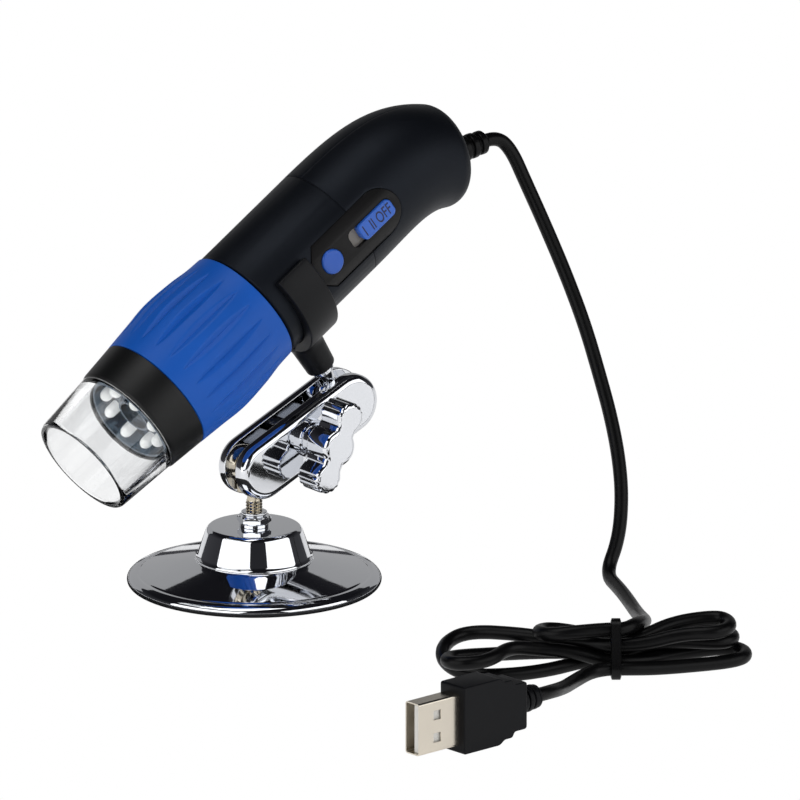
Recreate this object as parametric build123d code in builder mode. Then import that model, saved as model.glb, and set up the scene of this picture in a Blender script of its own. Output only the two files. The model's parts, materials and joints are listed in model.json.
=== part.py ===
from build123d import *
import math
import os

os.makedirs("parts", exist_ok=True)

# Digital microscope on a ball-jointed chrome stand, with its cord tied in a hank.
# Millimetres, +Z up. The origin is the middle of the base's underside. The arm, the
# studs and the microscope lie in the XZ plane, and the nose points to -X and down.

# Driving sizes of the stand
base_radius = 29.2
lower_ball_height = 28.0
ball_radius = 4.5
arm_span = 27.5
arm_rise_angle = 24.8
arm_width = 13.8
arm_plate_thickness = 3.5
arm_gap = 4.0
stud_reach = 37.5

# Driving sizes of the microscope, with stations counted from the focus ring's rear edge
scope_dip_angle = 33.2
clip_station = 8.4
clip_width = 9.0
clip_wall = 2.6
barrel_radius = 14.6
barrel_wall = 2.0
barrel_end = 28.5
sleeve_radius = 12.2
sleeve_wall = 1.6
ring_length = 30.2
band_length = 9.4
band_front_radius = 14.2
band_rear_radius = 15.0
hood_length = 15.2
hood_front_radius = 12.8
hood_rear_radius = 13.9
hood_wall = 1.5
panel_side_angle = 6.6
panel_start = 13.5
panel_end = 40.4
panel_width = 12.1
panel_thickness = 1.2
button_station = 18.4
button_radius = 2.9
slider_station = 33.0
slider_length = 10.5
slider_width = 4.3
slider_travel = 2.8
grip_wall = 2.0

# Driving sizes of the cord and its plug
cord_radius = 1.6
plug_shell_width = 12.0
plug_shell_thickness = 4.5
plug_shell_length = 12.0

# Fits and clearances
running_gap = 0.06
seat_gap = 0.05
free_gap = 0.15
side_gap = 0.3
overrun = 2.0


def turned(angle):
    """The unit vector in the XZ plane at this angle above +X."""
    return Vector(math.cos(math.radians(angle)), 0, math.sin(math.radians(angle)))


def finish(piece, name):
    """Names a finished piece and writes its file."""
    piece.part.label = name
    export_step(piece.part, "parts/" + name + ".step")


# Places that follow from the driving sizes
arm_way = turned(arm_rise_angle)
tail_way = turned(scope_dip_angle)
up_way = turned(scope_dip_angle + 90)
side_way = Vector(0, -1, 0)
lower_ball = Vector(0, 0, lower_ball_height)
upper_ball = lower_ball + arm_way * arm_span
arm_middle = lower_ball + arm_way * (arm_span / 2)
clip_centre = upper_ball + up_way * stud_reach
scope_origin = clip_centre - tail_way * clip_station
arm_plane = Plane(origin=arm_middle, x_dir=arm_way, z_dir=side_way)
scope_plane = Plane(origin=scope_origin, x_dir=up_way, z_dir=tail_way)
section_plane = Plane(origin=scope_origin, x_dir=up_way, z_dir=-side_way)
scope_axis = Axis(scope_origin, tail_way)
panel_out = side_way * math.cos(math.radians(panel_side_angle)) + up_way * math.sin(
    math.radians(panel_side_angle)
)
panel_plane = Plane(origin=scope_origin, x_dir=tail_way, z_dir=panel_out)
stud_plane = Plane(origin=upper_ball, x_dir=tail_way, z_dir=up_way)
stud_section = Plane(origin=upper_ball, x_dir=tail_way, z_dir=side_way)
stud_axis = Axis(upper_ball, up_way)


# The base: one chrome-plated casting, a shallow cone with a hub like a cut-off cone
base_underside = 0.3
base_rim_height = 2.5
base_rim_step = 2.4
base_step_drop = 0.5
base_cone_foot = 3.0
base_cone_top = 5.9
base_corner = 0.8
hub_foot_radius = 13.2
hub_top_radius = 10.7
hub_height = 13.9
hub_corner = 0.9
stem_radius = 1.95
pad_radius = 27.0
pad_thickness = 1.5
nut_pocket_radius = 5.0
nut_pocket_depth = 4.0
with BuildPart() as base_plate:
    with BuildSketch(Plane.XZ):
        with BuildLine():
            Polyline(
                (0, base_underside),
                (base_radius, base_underside),
                (base_radius, base_rim_height),
                (base_radius - base_rim_step, base_rim_height + base_step_drop),
                (base_radius - base_rim_step, base_cone_foot - base_step_drop),
                (base_radius - base_rim_step * 2, base_cone_foot + base_step_drop),
                (hub_foot_radius + base_corner, base_cone_top),
                (hub_foot_radius, base_cone_top + base_corner),
                (hub_top_radius + hub_corner / 2, hub_height - hub_corner),
                (hub_top_radius - hub_corner, hub_height),
                (0, hub_height),
                close=True,
            )
        make_face()
    revolve(axis=Axis.Z)
    with Locations((0, 0, 0)):
        Cylinder(
            pad_radius + seat_gap,
            pad_thickness * 2,
            mode=Mode.SUBTRACT,
        )
    with Locations(Plane.XY.offset(pad_thickness)):
        Cylinder(
            nut_pocket_radius,
            nut_pocket_depth,
            align=(Align.CENTER, Align.CENTER, Align.MIN),
            mode=Mode.SUBTRACT,
        )
    with Locations(Plane.XY.offset(pad_thickness)):
        Cylinder(
            stem_radius + running_gap,
            hub_height,
            align=(Align.CENTER, Align.CENTER, Align.MIN),
            mode=Mode.SUBTRACT,
        )
    rim_edges = base_plate.edges().filter_by(GeomType.CIRCLE).sort_by(SortBy.RADIUS)
    fillet(rim_edges.filter_by(lambda e: e.radius > base_radius - seat_gap)[-1], base_corner)
finish(base_plate, "base_plate")

# The soft pad under the base, let into the casting
with BuildPart() as foot_pad:
    with BuildSketch(Plane.XY):
        Circle(pad_radius)
    extrude(amount=pad_thickness)
finish(foot_pad, "foot_pad")

# The lower stud: a ball on a neck that passes between the clamp plates, and a threaded
# stem that turns in the hub and is held under it by a round nut
neck_radius = 1.6
neck_reach = arm_width / 2 + 0.6
stem_foot = pad_thickness + 1.2
with BuildPart() as lower_ball_stud:
    with BuildSketch(Plane.XZ):
        with BuildLine():
            Polyline(
                (0, stem_foot),
                (stem_radius, stem_foot),
                (stem_radius, lower_ball_height - neck_reach - (stem_radius - neck_radius)),
                (neck_radius, lower_ball_height - neck_reach),
                (neck_radius, lower_ball_height),
                (0, lower_ball_height),
                close=True,
            )
        make_face()
    revolve(axis=Axis.Z)
    with Locations(lower_ball):
        Sphere(ball_radius)
finish(lower_ball_stud, "lower_ball_stud")

held_nut_radius = 4.2
held_nut_height = 2.6
with BuildPart() as stem_retaining_nut:
    with BuildSketch(Plane.XY.offset(pad_thickness + nut_pocket_depth - seat_gap)):
        Circle(held_nut_radius)
        Circle(stem_radius, mode=Mode.SUBTRACT)
    extrude(amount=-held_nut_height)
finish(stem_retaining_nut, "stem_retaining_nut")

# The lock nut on the hub: a hexagon with a washer face below and a step above
nut_flats = 6.9
nut_washer_height = 0.9
nut_hex_height = 1.7
nut_step_radius = 3.0
nut_step_height = 0.9
with BuildPart() as stem_lock_nut:
    with BuildSketch(Plane.XY.offset(hub_height)):
        Circle(nut_flats / 2 - seat_gap)
    extrude(amount=nut_washer_height)
    with BuildSketch(Plane.XY.offset(hub_height + nut_washer_height)):
        RegularPolygon(nut_flats / 2, 6, major_radius=False)
    extrude(amount=nut_hex_height)
    with BuildSketch(Plane.XY.offset(hub_height + nut_washer_height + nut_hex_height)):
        Circle(nut_step_radius)
    extrude(amount=nut_step_height)
    with BuildSketch(Plane.XY.offset(hub_height)):
        Circle(stem_radius)
    extrude(amount=nut_washer_height + nut_hex_height + nut_step_height, mode=Mode.SUBTRACT)
finish(stem_lock_nut, "stem_lock_nut")

# The clamp arm: two chrome plates with a cup at each end for the balls
arm_length = arm_span + arm_width
plate_edge = 1.9
cup_gap = running_gap
screw_radius = 2.0
screw_head_radius = 3.6
screw_head_height = 1.6
for plate_name, lift in (("rear_clamp_plate", -1), ("front_clamp_plate", 1)):
    with BuildPart() as clamp_plate:
        with BuildSketch(arm_plane.offset(lift * arm_gap / 2)):
            SlotOverall(arm_length, arm_width)
        extrude(amount=lift * arm_plate_thickness)
        outer_face = clamp_plate.faces().sort_by(Axis(arm_middle, side_way))[-1 if lift > 0 else 0]
        fillet(outer_face.edges(), plate_edge)
        with Locations(lower_ball, upper_ball):
            Sphere(ball_radius + cup_gap, mode=Mode.SUBTRACT)
        with BuildSketch(arm_plane):
            Circle(screw_radius + running_gap)
        extrude(amount=lift * (arm_gap + arm_plate_thickness), mode=Mode.SUBTRACT)
        if lift < 0:
            with BuildSketch(arm_plane.offset(-arm_gap / 2 - arm_plate_thickness)):
                Circle(screw_head_radius + seat_gap)
            extrude(amount=screw_head_height, mode=Mode.SUBTRACT)
    finish(clamp_plate, plate_name)

# The clamp screw: its head is let into the rear plate, and the knob turns on its thread
knob_washer_radius = 4.6
knob_washer_height = 1.0
knob_boss_radius = 3.9
knob_boss_height = 2.6
knob_depth = 11.0
knob_length = 22.0
knob_lobe_radius = 3.7
knob_waist = 5.6
knob_hub_radius = 4.4
knob_angle = 64.0
knob_edge = 1.2
knob_bore_floor = 2.0
plate_face = arm_gap / 2 + arm_plate_thickness
knob_foot = plate_face + knob_washer_height
screw_end = plate_face + knob_depth - knob_bore_floor - running_gap * 2
with BuildPart() as clamp_screw:
    with BuildSketch(arm_plane.offset(-plate_face)):
        Circle(screw_head_radius)
    extrude(amount=screw_head_height)
    with BuildSketch(arm_plane.offset(-plate_face)):
        Circle(screw_radius)
    extrude(amount=plate_face + screw_end - overrun)
finish(clamp_screw, "clamp_screw")

with BuildPart() as knob_washer:
    with BuildSketch(arm_plane.offset(plate_face)):
        Circle(knob_washer_radius)
        Circle(screw_radius + running_gap, mode=Mode.SUBTRACT)
    extrude(amount=knob_washer_height)
finish(knob_washer, "knob_washer")

# The wing knob: a boss that carries two fluted lobes, cast in one and chromed
knob_plane = Plane(origin=arm_middle, x_dir=turned(knob_angle), z_dir=side_way)
with BuildPart() as clamp_knob:
    with BuildSketch(knob_plane.offset(knob_foot)):
        Circle(knob_boss_radius)
    extrude(amount=knob_boss_height)
    with BuildSketch(knob_plane.offset(knob_foot + knob_boss_height)):
        Rectangle(knob_length - knob_lobe_radius * 2, knob_waist)
        Circle(knob_hub_radius)
        with Locations(
            (knob_length / 2 - knob_lobe_radius, 0), (knob_lobe_radius - knob_length / 2, 0)
        ):
            Circle(knob_lobe_radius)
    extrude(amount=plate_face + knob_depth - knob_foot - knob_boss_height)
    knob_top = clamp_knob.faces().sort_by(Axis(arm_middle, side_way))[-1]
    fillet(knob_top.edges(), knob_edge)
    with BuildSketch(knob_plane.offset(knob_foot)):
        Circle(screw_radius + running_gap)
    extrude(
        amount=plate_face + knob_depth - knob_bore_floor - knob_foot, mode=Mode.SUBTRACT
    )
finish(clamp_knob, "clamp_knob")

# The upper stud: ball, neck, a cone that widens to a collar, and a thread in the socket
collar_reach = 9.4
collar_radius = 2.6
collar_height = 1.3
cone_radius = 2.1
spigot_radius = 1.5
spigot_margin = 5.2
spigot_length = stud_reach - barrel_radius - collar_reach - collar_height - spigot_margin
with BuildPart() as upper_ball_stud:
    with BuildSketch(stud_section):
        with BuildLine():
            Polyline(
                (0, 0),
                (neck_radius, 0),
                (neck_radius, neck_reach),
                (cone_radius, collar_reach),
                (collar_radius, collar_reach),
                (collar_radius, collar_reach + collar_height),
                (spigot_radius, collar_reach + collar_height),
                (spigot_radius, collar_reach + collar_height + spigot_length),
                (0, collar_reach + collar_height + spigot_length),
                close=True,
            )
        make_face()
    revolve(axis=stud_axis)
    with Locations(upper_ball):
        Sphere(ball_radius)
finish(upper_ball_stud, "upper_ball_stud")

# The clip: a springy C of plastic round the barrel, with a socket for the stud below
clip_bore = barrel_radius + running_gap
clip_radius = clip_bore + clip_wall
clip_wrap_angle = 125.0
clip_edge = 0.6
socket_end_radius = 3.5
socket_root_radius = 4.0
socket_flare = 1.6
socket_end = collar_reach + collar_height + free_gap
socket_depth = spigot_length + free_gap * 2
insert_radius = 2.4
socket_bore = insert_radius
clip_front = clip_station - clip_width / 2
with BuildPart() as scope_clip:
    with BuildSketch(stud_section):
        with BuildLine():
            Polyline(
                (0, socket_end),
                (socket_end_radius, socket_end),
                (socket_root_radius, stud_reach - clip_radius - socket_flare),
                (socket_root_radius + socket_flare, stud_reach - clip_radius + clip_wall / 2),
                (0, stud_reach - clip_radius + clip_wall / 2),
                close=True,
            )
        make_face()
    revolve(axis=stud_axis)
    with BuildSketch(scope_plane.offset(clip_front)):
        with BuildLine():
            clip_arc = CenterArc(
                (0, 0), clip_bore + clip_wall / 2, 180 - clip_wrap_angle, clip_wrap_angle * 2
            )
            offset(clip_arc, clip_wall / 2, side=Side.BOTH)
        make_face()
    extrude(amount=clip_width)
    clip_rims = scope_clip.edges().filter_by(
        lambda e: e.geom_type == GeomType.CIRCLE and abs(e.radius - clip_radius) < seat_gap
    )
    fillet(clip_rims, clip_edge)
    with BuildSketch(scope_plane.offset(clip_front - overrun)):
        Circle(clip_bore)
    extrude(amount=clip_width + overrun * 2, mode=Mode.SUBTRACT)
    with BuildSketch(stud_plane.offset(socket_end)):
        Circle(socket_bore)
    extrude(amount=socket_depth, mode=Mode.SUBTRACT)
finish(scope_clip, "scope_clip")

# The threaded brass insert moulded into the clip's socket
with BuildPart() as clip_insert:
    with BuildSketch(stud_plane.offset(socket_end)):
        Circle(insert_radius)
        Circle(spigot_radius + running_gap, mode=Mode.SUBTRACT)
    extrude(amount=spigot_length)
finish(clip_insert, "clip_insert")

# The grip's outline: even ellipses across a centre line that bends down to the cord end.
# The drop, the turn and the taper all grow as a power of the share of the length.
scope_end = 62.2
grip_length = scope_end - barrel_end
grip_drop = 9.4
grip_turn = 25.2
grip_taper_share = 0.155
grip_sections = 9
drop_power = 4.2
turn_power = 2.1
taper_power = 2.0
grip_end_edge = 4.2


def grip_section(along, inset):
    """The plane and half height of the grip's cross section at this share of its length."""
    angle = scope_dip_angle - grip_turn * along**turn_power
    centre = scope_origin + tail_way * (barrel_end + grip_length * along)
    centre = centre - up_way * (grip_drop * along**drop_power)
    plane = Plane(origin=centre, x_dir=turned(angle + 90), z_dir=turned(angle))
    return plane, barrel_radius * (1 - grip_taper_share * along**taper_power) - inset


screw_boss_radius = 2.6
grip_screw_radius = 1.0
grip_screw_head_radius = 1.9
grip_screw_head_height = 1.3
grip_screw_depth = 5.0
head_depth = 5.6
grip_screw_spots = (
    scope_origin + tail_way * (barrel_end + grip_length * 0.45) + up_way * (barrel_radius * 0.45),
    scope_origin + tail_way * (barrel_end + grip_length * 0.62) - up_way * (barrel_radius * 0.72),
)
relief_length = 11.6
relief_rise = 0.3
relief_flange_radius = 4.2
relief_neck_radius = 2.6
relief_root_radius = 3.1
grip_end_plane = grip_section(1, 0)[0]
relief_plane = Plane(
    origin=grip_end_plane.origin + grip_end_plane.x_dir * relief_rise,
    x_dir=side_way,
    z_dir=grip_end_plane.z_dir,
)
end_wall = 2.2
relief_tail = 5.0

with BuildPart() as grip_cavity:
    for step in range(grip_sections):
        cut_plane, half_height = grip_section(step / (grip_sections - 1), grip_wall)
        with BuildSketch(cut_plane.offset(-end_wall * step / (grip_sections - 1))):
            Circle(half_height)
    loft()
    cavity_end = grip_cavity.faces().filter_by(GeomType.PLANE).sort_by(scope_axis)[-1]
    fillet(cavity_end.edges(), grip_end_edge - grip_wall)
    for spot in grip_screw_spots:
        with BuildSketch(Plane(origin=spot, x_dir=tail_way, z_dir=side_way)):
            Circle(screw_boss_radius)
        extrude(amount=barrel_radius, both=True, mode=Mode.SUBTRACT)

# The inset's outline, shared by the panel and by the seat cut for it
panel_corner = 3.2
panel_lip = 0.15


def panel_corners(grow):
    """The panel's corners, cut short at the front, from one side round to the other."""
    half = panel_width / 2 + grow
    front = panel_start - grow
    rear = panel_end + grow
    return (
        (rear - half, half),
        (front + panel_corner, half),
        (front, half - panel_corner),
        (front, panel_corner - half),
        (front + panel_corner, -half),
        (rear - half, -half),
    )


panel_radius = barrel_radius - panel_lip
seat_radius = panel_radius - panel_thickness
slot_length = slider_length + slider_travel
slot_rear = slider_station + slider_length / 2 + free_gap
slot_middle = slot_rear - (slot_length + free_gap * 2) / 2
slot_width = slider_width + free_gap * 2
slot_corner = 1.4
slot_rim = 0.5
with BuildPart() as panel_seat:
    with BuildSketch(panel_plane):
        with BuildLine():
            seat_line = Polyline(*panel_corners(free_gap))
            ThreePointArc(seat_line @ 1, (panel_end + free_gap, 0), seat_line @ 0)
        make_face()
    extrude(amount=barrel_radius + overrun)
    with BuildSketch(scope_plane):
        Circle(seat_radius)
    extrude(amount=panel_end + overrun, mode=Mode.SUBTRACT)
    with BuildSketch(panel_plane.offset(seat_radius / 2)):
        with Locations((button_station, 0)):
            Circle(button_radius + slot_rim)
        with Locations((slot_middle, 0)):
            RectangleRounded(
                slot_length + free_gap * 2 + slot_rim * 2, slot_width + slot_rim * 2, slot_corner
            )
    extrude(amount=barrel_radius)

# The two grip shells, moulded hollow and parted along the middle
for shell_name, kept, side in (
    ("grip_shell_left", Keep.TOP, 1),
    ("grip_shell_right", Keep.BOTTOM, -1),
):
    with BuildPart() as grip_shell:
        for step in range(grip_sections):
            cut_plane, half_height = grip_section(step / (grip_sections - 1), 0)
            with BuildSketch(cut_plane):
                Circle(half_height)
        loft()
        grip_end = grip_shell.faces().filter_by(GeomType.PLANE).sort_by(scope_axis)[-1]
        fillet(grip_end.edges(), grip_end_edge)
        add(grip_cavity.part, mode=Mode.SUBTRACT)
        with BuildSketch(relief_plane.offset(-relief_tail * 2)):
            Circle(relief_neck_radius + seat_gap)
        extrude(amount=relief_tail * 4, mode=Mode.SUBTRACT)
        split(bisect_by=Plane(origin=(0, 0, 0), x_dir=(1, 0, 0), z_dir=side_way), keep=kept)
        if side > 0:
            add(panel_seat.part, mode=Mode.SUBTRACT)
        for spot in grip_screw_spots:
            screw_plane = Plane(origin=spot, x_dir=tail_way, z_dir=side_way)
            if side > 0:
                with BuildSketch(screw_plane):
                    Circle(grip_screw_radius + seat_gap)
                extrude(amount=grip_screw_depth + seat_gap, mode=Mode.SUBTRACT)
            else:
                with BuildSketch(screw_plane):
                    Circle(grip_screw_radius + seat_gap)
                extrude(amount=-barrel_radius, mode=Mode.SUBTRACT)
                with BuildSketch(screw_plane.offset(-head_depth)):
                    Circle(grip_screw_head_radius + seat_gap)
                extrude(amount=-barrel_radius, mode=Mode.SUBTRACT)
    finish(grip_shell, shell_name)

with BuildPart() as grip_screws:
    for spot in grip_screw_spots:
        screw_plane = Plane(origin=spot, x_dir=tail_way, z_dir=side_way)
        with BuildSketch(screw_plane.offset(-head_depth)):
            Circle(grip_screw_head_radius)
        extrude(amount=-grip_screw_head_height)
        with BuildSketch(screw_plane.offset(-head_depth)):
            Circle(grip_screw_radius)
        extrude(amount=head_depth + grip_screw_depth)
finish(grip_screws, "grip_screws")

# The front barrel: a thin sleeve ahead for the focus ring and the nose band, then the
# grip's full width, and a spigot that the grip shells close over
end_gap = 0.12
sleeve_setback = 6.4
sleeve_length = ring_length + band_length - sleeve_setback
sleeve_bore = sleeve_radius - sleeve_wall
shell_spigot_length = 3.0
spigot_outer = barrel_radius - grip_wall - side_gap
spigot_wall = 1.2
barrel_bore_start = 4.0
pin_station = -18.0
pin_radius = 1.0
focus_travel = 2.5
slot_reach = focus_travel + pin_radius + seat_gap * 2
with BuildPart() as front_barrel:
    with BuildSketch(section_plane):
        with BuildLine():
            Polyline(
                (sleeve_bore, -sleeve_length),
                (sleeve_radius, -sleeve_length),
                (sleeve_radius, end_gap),
                (barrel_radius - clip_edge, end_gap),
                (barrel_radius, end_gap + clip_edge),
                (barrel_radius, barrel_end - seat_gap),
                (spigot_outer, barrel_end - seat_gap),
                (spigot_outer, barrel_end + shell_spigot_length),
                (spigot_outer - spigot_wall, barrel_end + shell_spigot_length),
                (spigot_outer - spigot_wall, barrel_end - shell_spigot_length),
                (barrel_radius - barrel_wall, barrel_end - shell_spigot_length),
                (barrel_radius - barrel_wall, barrel_bore_start),
                (sleeve_bore, barrel_bore_start - barrel_wall),
                close=True,
            )
        make_face()
    revolve(axis=scope_axis)
    add(panel_seat.part, mode=Mode.SUBTRACT)
    with BuildSketch(Plane(origin=scope_origin, x_dir=tail_way, z_dir=up_way)):
        with Locations((pin_station, 0)):
            SlotOverall(slot_reach * 2, (pin_radius + seat_gap) * 2)
    extrude(amount=barrel_radius, mode=Mode.SUBTRACT)
finish(front_barrel, "front_barrel")

# The control panel, curved like the barrel, with a hole for the button and the slider
with BuildPart() as control_panel:
    with BuildSketch(panel_plane):
        with BuildLine():
            panel_line = Polyline(*panel_corners(0))
            ThreePointArc(panel_line @ 1, (panel_end, 0), panel_line @ 0)
        make_face()
    extrude(amount=barrel_radius + overrun)
    with BuildSketch(scope_plane):
        Circle(panel_radius)
    extrude(amount=panel_end + overrun, mode=Mode.INTERSECT)
    with BuildSketch(scope_plane):
        Circle(seat_radius + seat_gap)
    extrude(amount=panel_end + overrun, mode=Mode.SUBTRACT)
    with BuildSketch(panel_plane.offset(seat_radius / 2)):
        with Locations((button_station, 0)):
            Circle(button_radius + running_gap)
        with Locations((slot_middle, 0)):
            RectangleRounded(slot_length + free_gap * 2, slot_width, slot_corner)
    extrude(amount=barrel_radius, mode=Mode.SUBTRACT)
finish(control_panel, "control_panel")

# The grey track under the slider, seen at the open end of the slot
track_drop = 1.55
track_top = panel_radius - track_drop
track_thickness = 0.6
lever_width = 1.6
track_margin = 0.3
with BuildPart() as slider_track:
    with BuildSketch(panel_plane.offset(track_top)):
        with Locations((slot_middle, 0)):
            RectangleRounded(
                slot_length + track_margin * 4, slot_width + track_margin * 2, slot_corner
            )
        with Locations((slider_station - slider_travel / 2, 0)):
            Rectangle(
                slider_travel + lever_width + free_gap * 2,
                lever_width + free_gap * 2,
                mode=Mode.SUBTRACT,
            )
    extrude(amount=-track_thickness)
finish(slider_track, "slider_track")

# The main board stands behind the panel, with both switches on it
board_drop = 6.15
board_top = seat_radius - board_drop
board_thickness = 1.6
board_start = 11.0
board_end = 41.0
board_width = 16.0
switch_size = 6.0
switch_height = 3.5
with BuildPart() as main_board:
    with BuildSketch(panel_plane.offset(board_top)):
        with Locations(((board_start + board_end) / 2, 0)):
            Rectangle(board_end - board_start, board_width)
    extrude(amount=-board_thickness)
finish(main_board, "main_board")

with BuildPart() as tact_switch:
    with BuildSketch(panel_plane.offset(board_top)):
        with Locations((button_station, 0)):
            Rectangle(switch_size, switch_size)
    extrude(amount=switch_height)
finish(tact_switch, "tact_switch")

slide_body_length = 9.0
slide_body_width = 4.0
with BuildPart() as slide_switch:
    with BuildSketch(panel_plane.offset(board_top)):
        with Locations((slider_station - slider_travel / 2, 0)):
            Rectangle(slide_body_length, slide_body_width)
    extrude(amount=switch_height)
finish(slide_switch, "slide_switch")

# The snapshot button: a domed cap in the panel, a flange behind it and a stem down to
# the switch
button_press = 0.6
button_proud = 0.35
button_dome = 0.5
button_stem_radius = 1.6
flange_radius = button_radius + 0.35
flange_height = 0.8
flange_top = seat_radius - 0.4
with BuildPart() as snapshot_button:
    with BuildSketch(panel_plane.offset(board_top + switch_height + button_press + seat_gap)):
        with Locations((button_station, 0)):
            Circle(button_stem_radius)
    extrude(amount=flange_top - board_top - switch_height - button_press - seat_gap)
    with BuildSketch(panel_plane.offset(flange_top - flange_height)):
        with Locations((button_station, 0)):
            Circle(flange_radius)
    extrude(amount=flange_height)
    with BuildSketch(panel_plane.offset(flange_top)):
        with Locations((button_station, 0)):
            Circle(button_radius)
    extrude(amount=panel_radius + button_proud - flange_top)
    button_face = snapshot_button.faces().sort_by(Axis(scope_origin, panel_out))[-1]
    fillet(button_face.edges(), button_dome)
finish(snapshot_button, "snapshot_button")

# The light slider: a blue cap over the track, with a lever down to its switch
slider_foot = track_top + seat_gap * 2
slider_proud = 0.75
slider_edge = 0.4
slider_corner = 1.3
with BuildPart() as light_slider:
    with BuildSketch(panel_plane.offset(slider_foot)):
        with Locations((slider_station, 0)):
            RectangleRounded(slider_length, slider_width, slider_corner)
    extrude(amount=panel_radius + slider_proud - slider_foot)
    slider_face = light_slider.faces().sort_by(Axis(scope_origin, panel_out))[-1]
    fillet(slider_face.edges(), slider_edge)
    with BuildSketch(panel_plane.offset(board_top + switch_height + seat_gap)):
        with Locations((slider_station, 0)):
            Rectangle(lever_width, lever_width)
    extrude(amount=slider_foot - board_top - switch_height)
finish(light_slider, "light_slider")

# The focus ring: a fluted soft-touch grip that turns on the sleeve
ring_bore = sleeve_radius + running_gap
ring_edge_radius = 14.85
ring_waist_radius = 15.6
ring_crown_radius = 16.2
ring_shoulder_radius = 15.7
flute_count = 22
flute_radius = 2.0
flute_floor_radius = 15.4
relief_depth = 1.0
with BuildPart() as focus_ring:
    with BuildSketch(section_plane):
        with BuildLine():
            outline = Spline(
                (ring_edge_radius, -end_gap),
                (ring_edge_radius * 1.012, -ring_length * 0.14),
                (ring_shoulder_radius, -ring_length * 0.30),
                (ring_crown_radius, -ring_length * 0.56),
                (ring_waist_radius, -ring_length * 0.78),
                (band_rear_radius, end_gap - ring_length),
            )
            Polyline(
                outline @ 1, (ring_bore, end_gap - ring_length), (ring_bore, -end_gap), outline @ 0
            )
        make_face()
    revolve(axis=scope_axis)
    with BuildSketch(scope_plane.offset(pin_station - slot_reach - side_gap)):
        Circle(sleeve_radius + relief_depth)
    extrude(amount=(slot_reach + side_gap) * 2, mode=Mode.SUBTRACT)
    with BuildSketch(scope_plane.offset(overrun)):
        with PolarLocations(flute_floor_radius + flute_radius, flute_count):
            Circle(flute_radius)
    extrude(amount=-ring_length - overrun * 2, mode=Mode.SUBTRACT)
finish(focus_ring, "focus_ring")

# The nose band, bonded on the sleeve, holds the hood by its spigot
band_bore = sleeve_radius + seat_gap
nose_wall = 1.45
hood_seat_radius = band_front_radius - nose_wall
hood_seat_length = 5.6
nose_front = -(ring_length + band_length)
with BuildPart() as nose_band:
    with BuildSketch(section_plane):
        with BuildLine():
            Polyline(
                (hood_seat_radius, nose_front),
                (band_front_radius - clip_edge / 2, nose_front),
                (band_front_radius, nose_front + clip_edge / 2),
                (band_rear_radius, -ring_length),
                (band_bore, -ring_length),
                (band_bore, nose_front + hood_seat_length + seat_gap),
                (hood_seat_radius, nose_front + hood_seat_length + seat_gap),
                close=True,
            )
        make_face()
    revolve(axis=scope_axis)
finish(nose_band, "nose_band")

# The clear hood: a tapered tube with a round lip, its spigot let into the band
hood_spigot_bore = hood_seat_radius - seat_gap - hood_wall + free_gap
with BuildPart() as clear_hood:
    with BuildSketch(section_plane):
        with BuildLine():
            Polyline(
                (hood_front_radius - hood_wall, nose_front - hood_length + hood_wall / 2),
                (hood_spigot_bore, nose_front),
                (hood_spigot_bore, nose_front + hood_seat_length),
                (hood_seat_radius - seat_gap, nose_front + hood_seat_length),
                (hood_seat_radius - seat_gap, nose_front),
                (hood_rear_radius, nose_front),
                (hood_front_radius, nose_front - hood_length + hood_wall / 2),
            )
            ThreePointArc(
                (hood_front_radius, nose_front - hood_length + hood_wall / 2),
                (hood_front_radius - hood_wall / 2, nose_front - hood_length),
                (hood_front_radius - hood_wall, nose_front - hood_length + hood_wall / 2),
            )
        make_face()
    revolve(axis=scope_axis)
finish(clear_hood, "clear_hood")

# The lamp: a ring board on the sleeve's front, eight white lamps, and a chrome dish
lamp_count = 8
lamp_radius = 1.5
lamp_flange_radius = 1.75
lamp_flange_height = 0.8
lamp_height = 3.6
ring_board_thickness = 1.2
ring_board_radius = hood_spigot_bore - free_gap
ring_board_bore = 3.4
lamp_margin = 3.2
lamp_ring_radius = ring_board_radius - lamp_margin
lamp_board_front = -sleeve_length - ring_board_thickness
with BuildPart() as lamp_board:
    with BuildSketch(scope_plane.offset(lamp_board_front)):
        Circle(ring_board_radius)
        Circle(ring_board_bore, mode=Mode.SUBTRACT)
    extrude(amount=ring_board_thickness)
finish(lamp_board, "lamp_board")

with BuildPart() as lamps:
    for layer_radius, layer_start, layer_end in (
        (lamp_flange_radius, 0, lamp_flange_height),
        (lamp_radius, lamp_flange_height, lamp_height),
    ):
        with BuildSketch(scope_plane.offset(lamp_board_front - layer_start)):
            with PolarLocations(lamp_ring_radius, lamp_count):
                Circle(layer_radius)
        extrude(amount=layer_start - layer_end)
    with Locations(scope_plane.offset(lamp_board_front - lamp_height)):
        with PolarLocations(lamp_ring_radius, lamp_count):
            Sphere(lamp_radius)
finish(lamps, "lamps")

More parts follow.
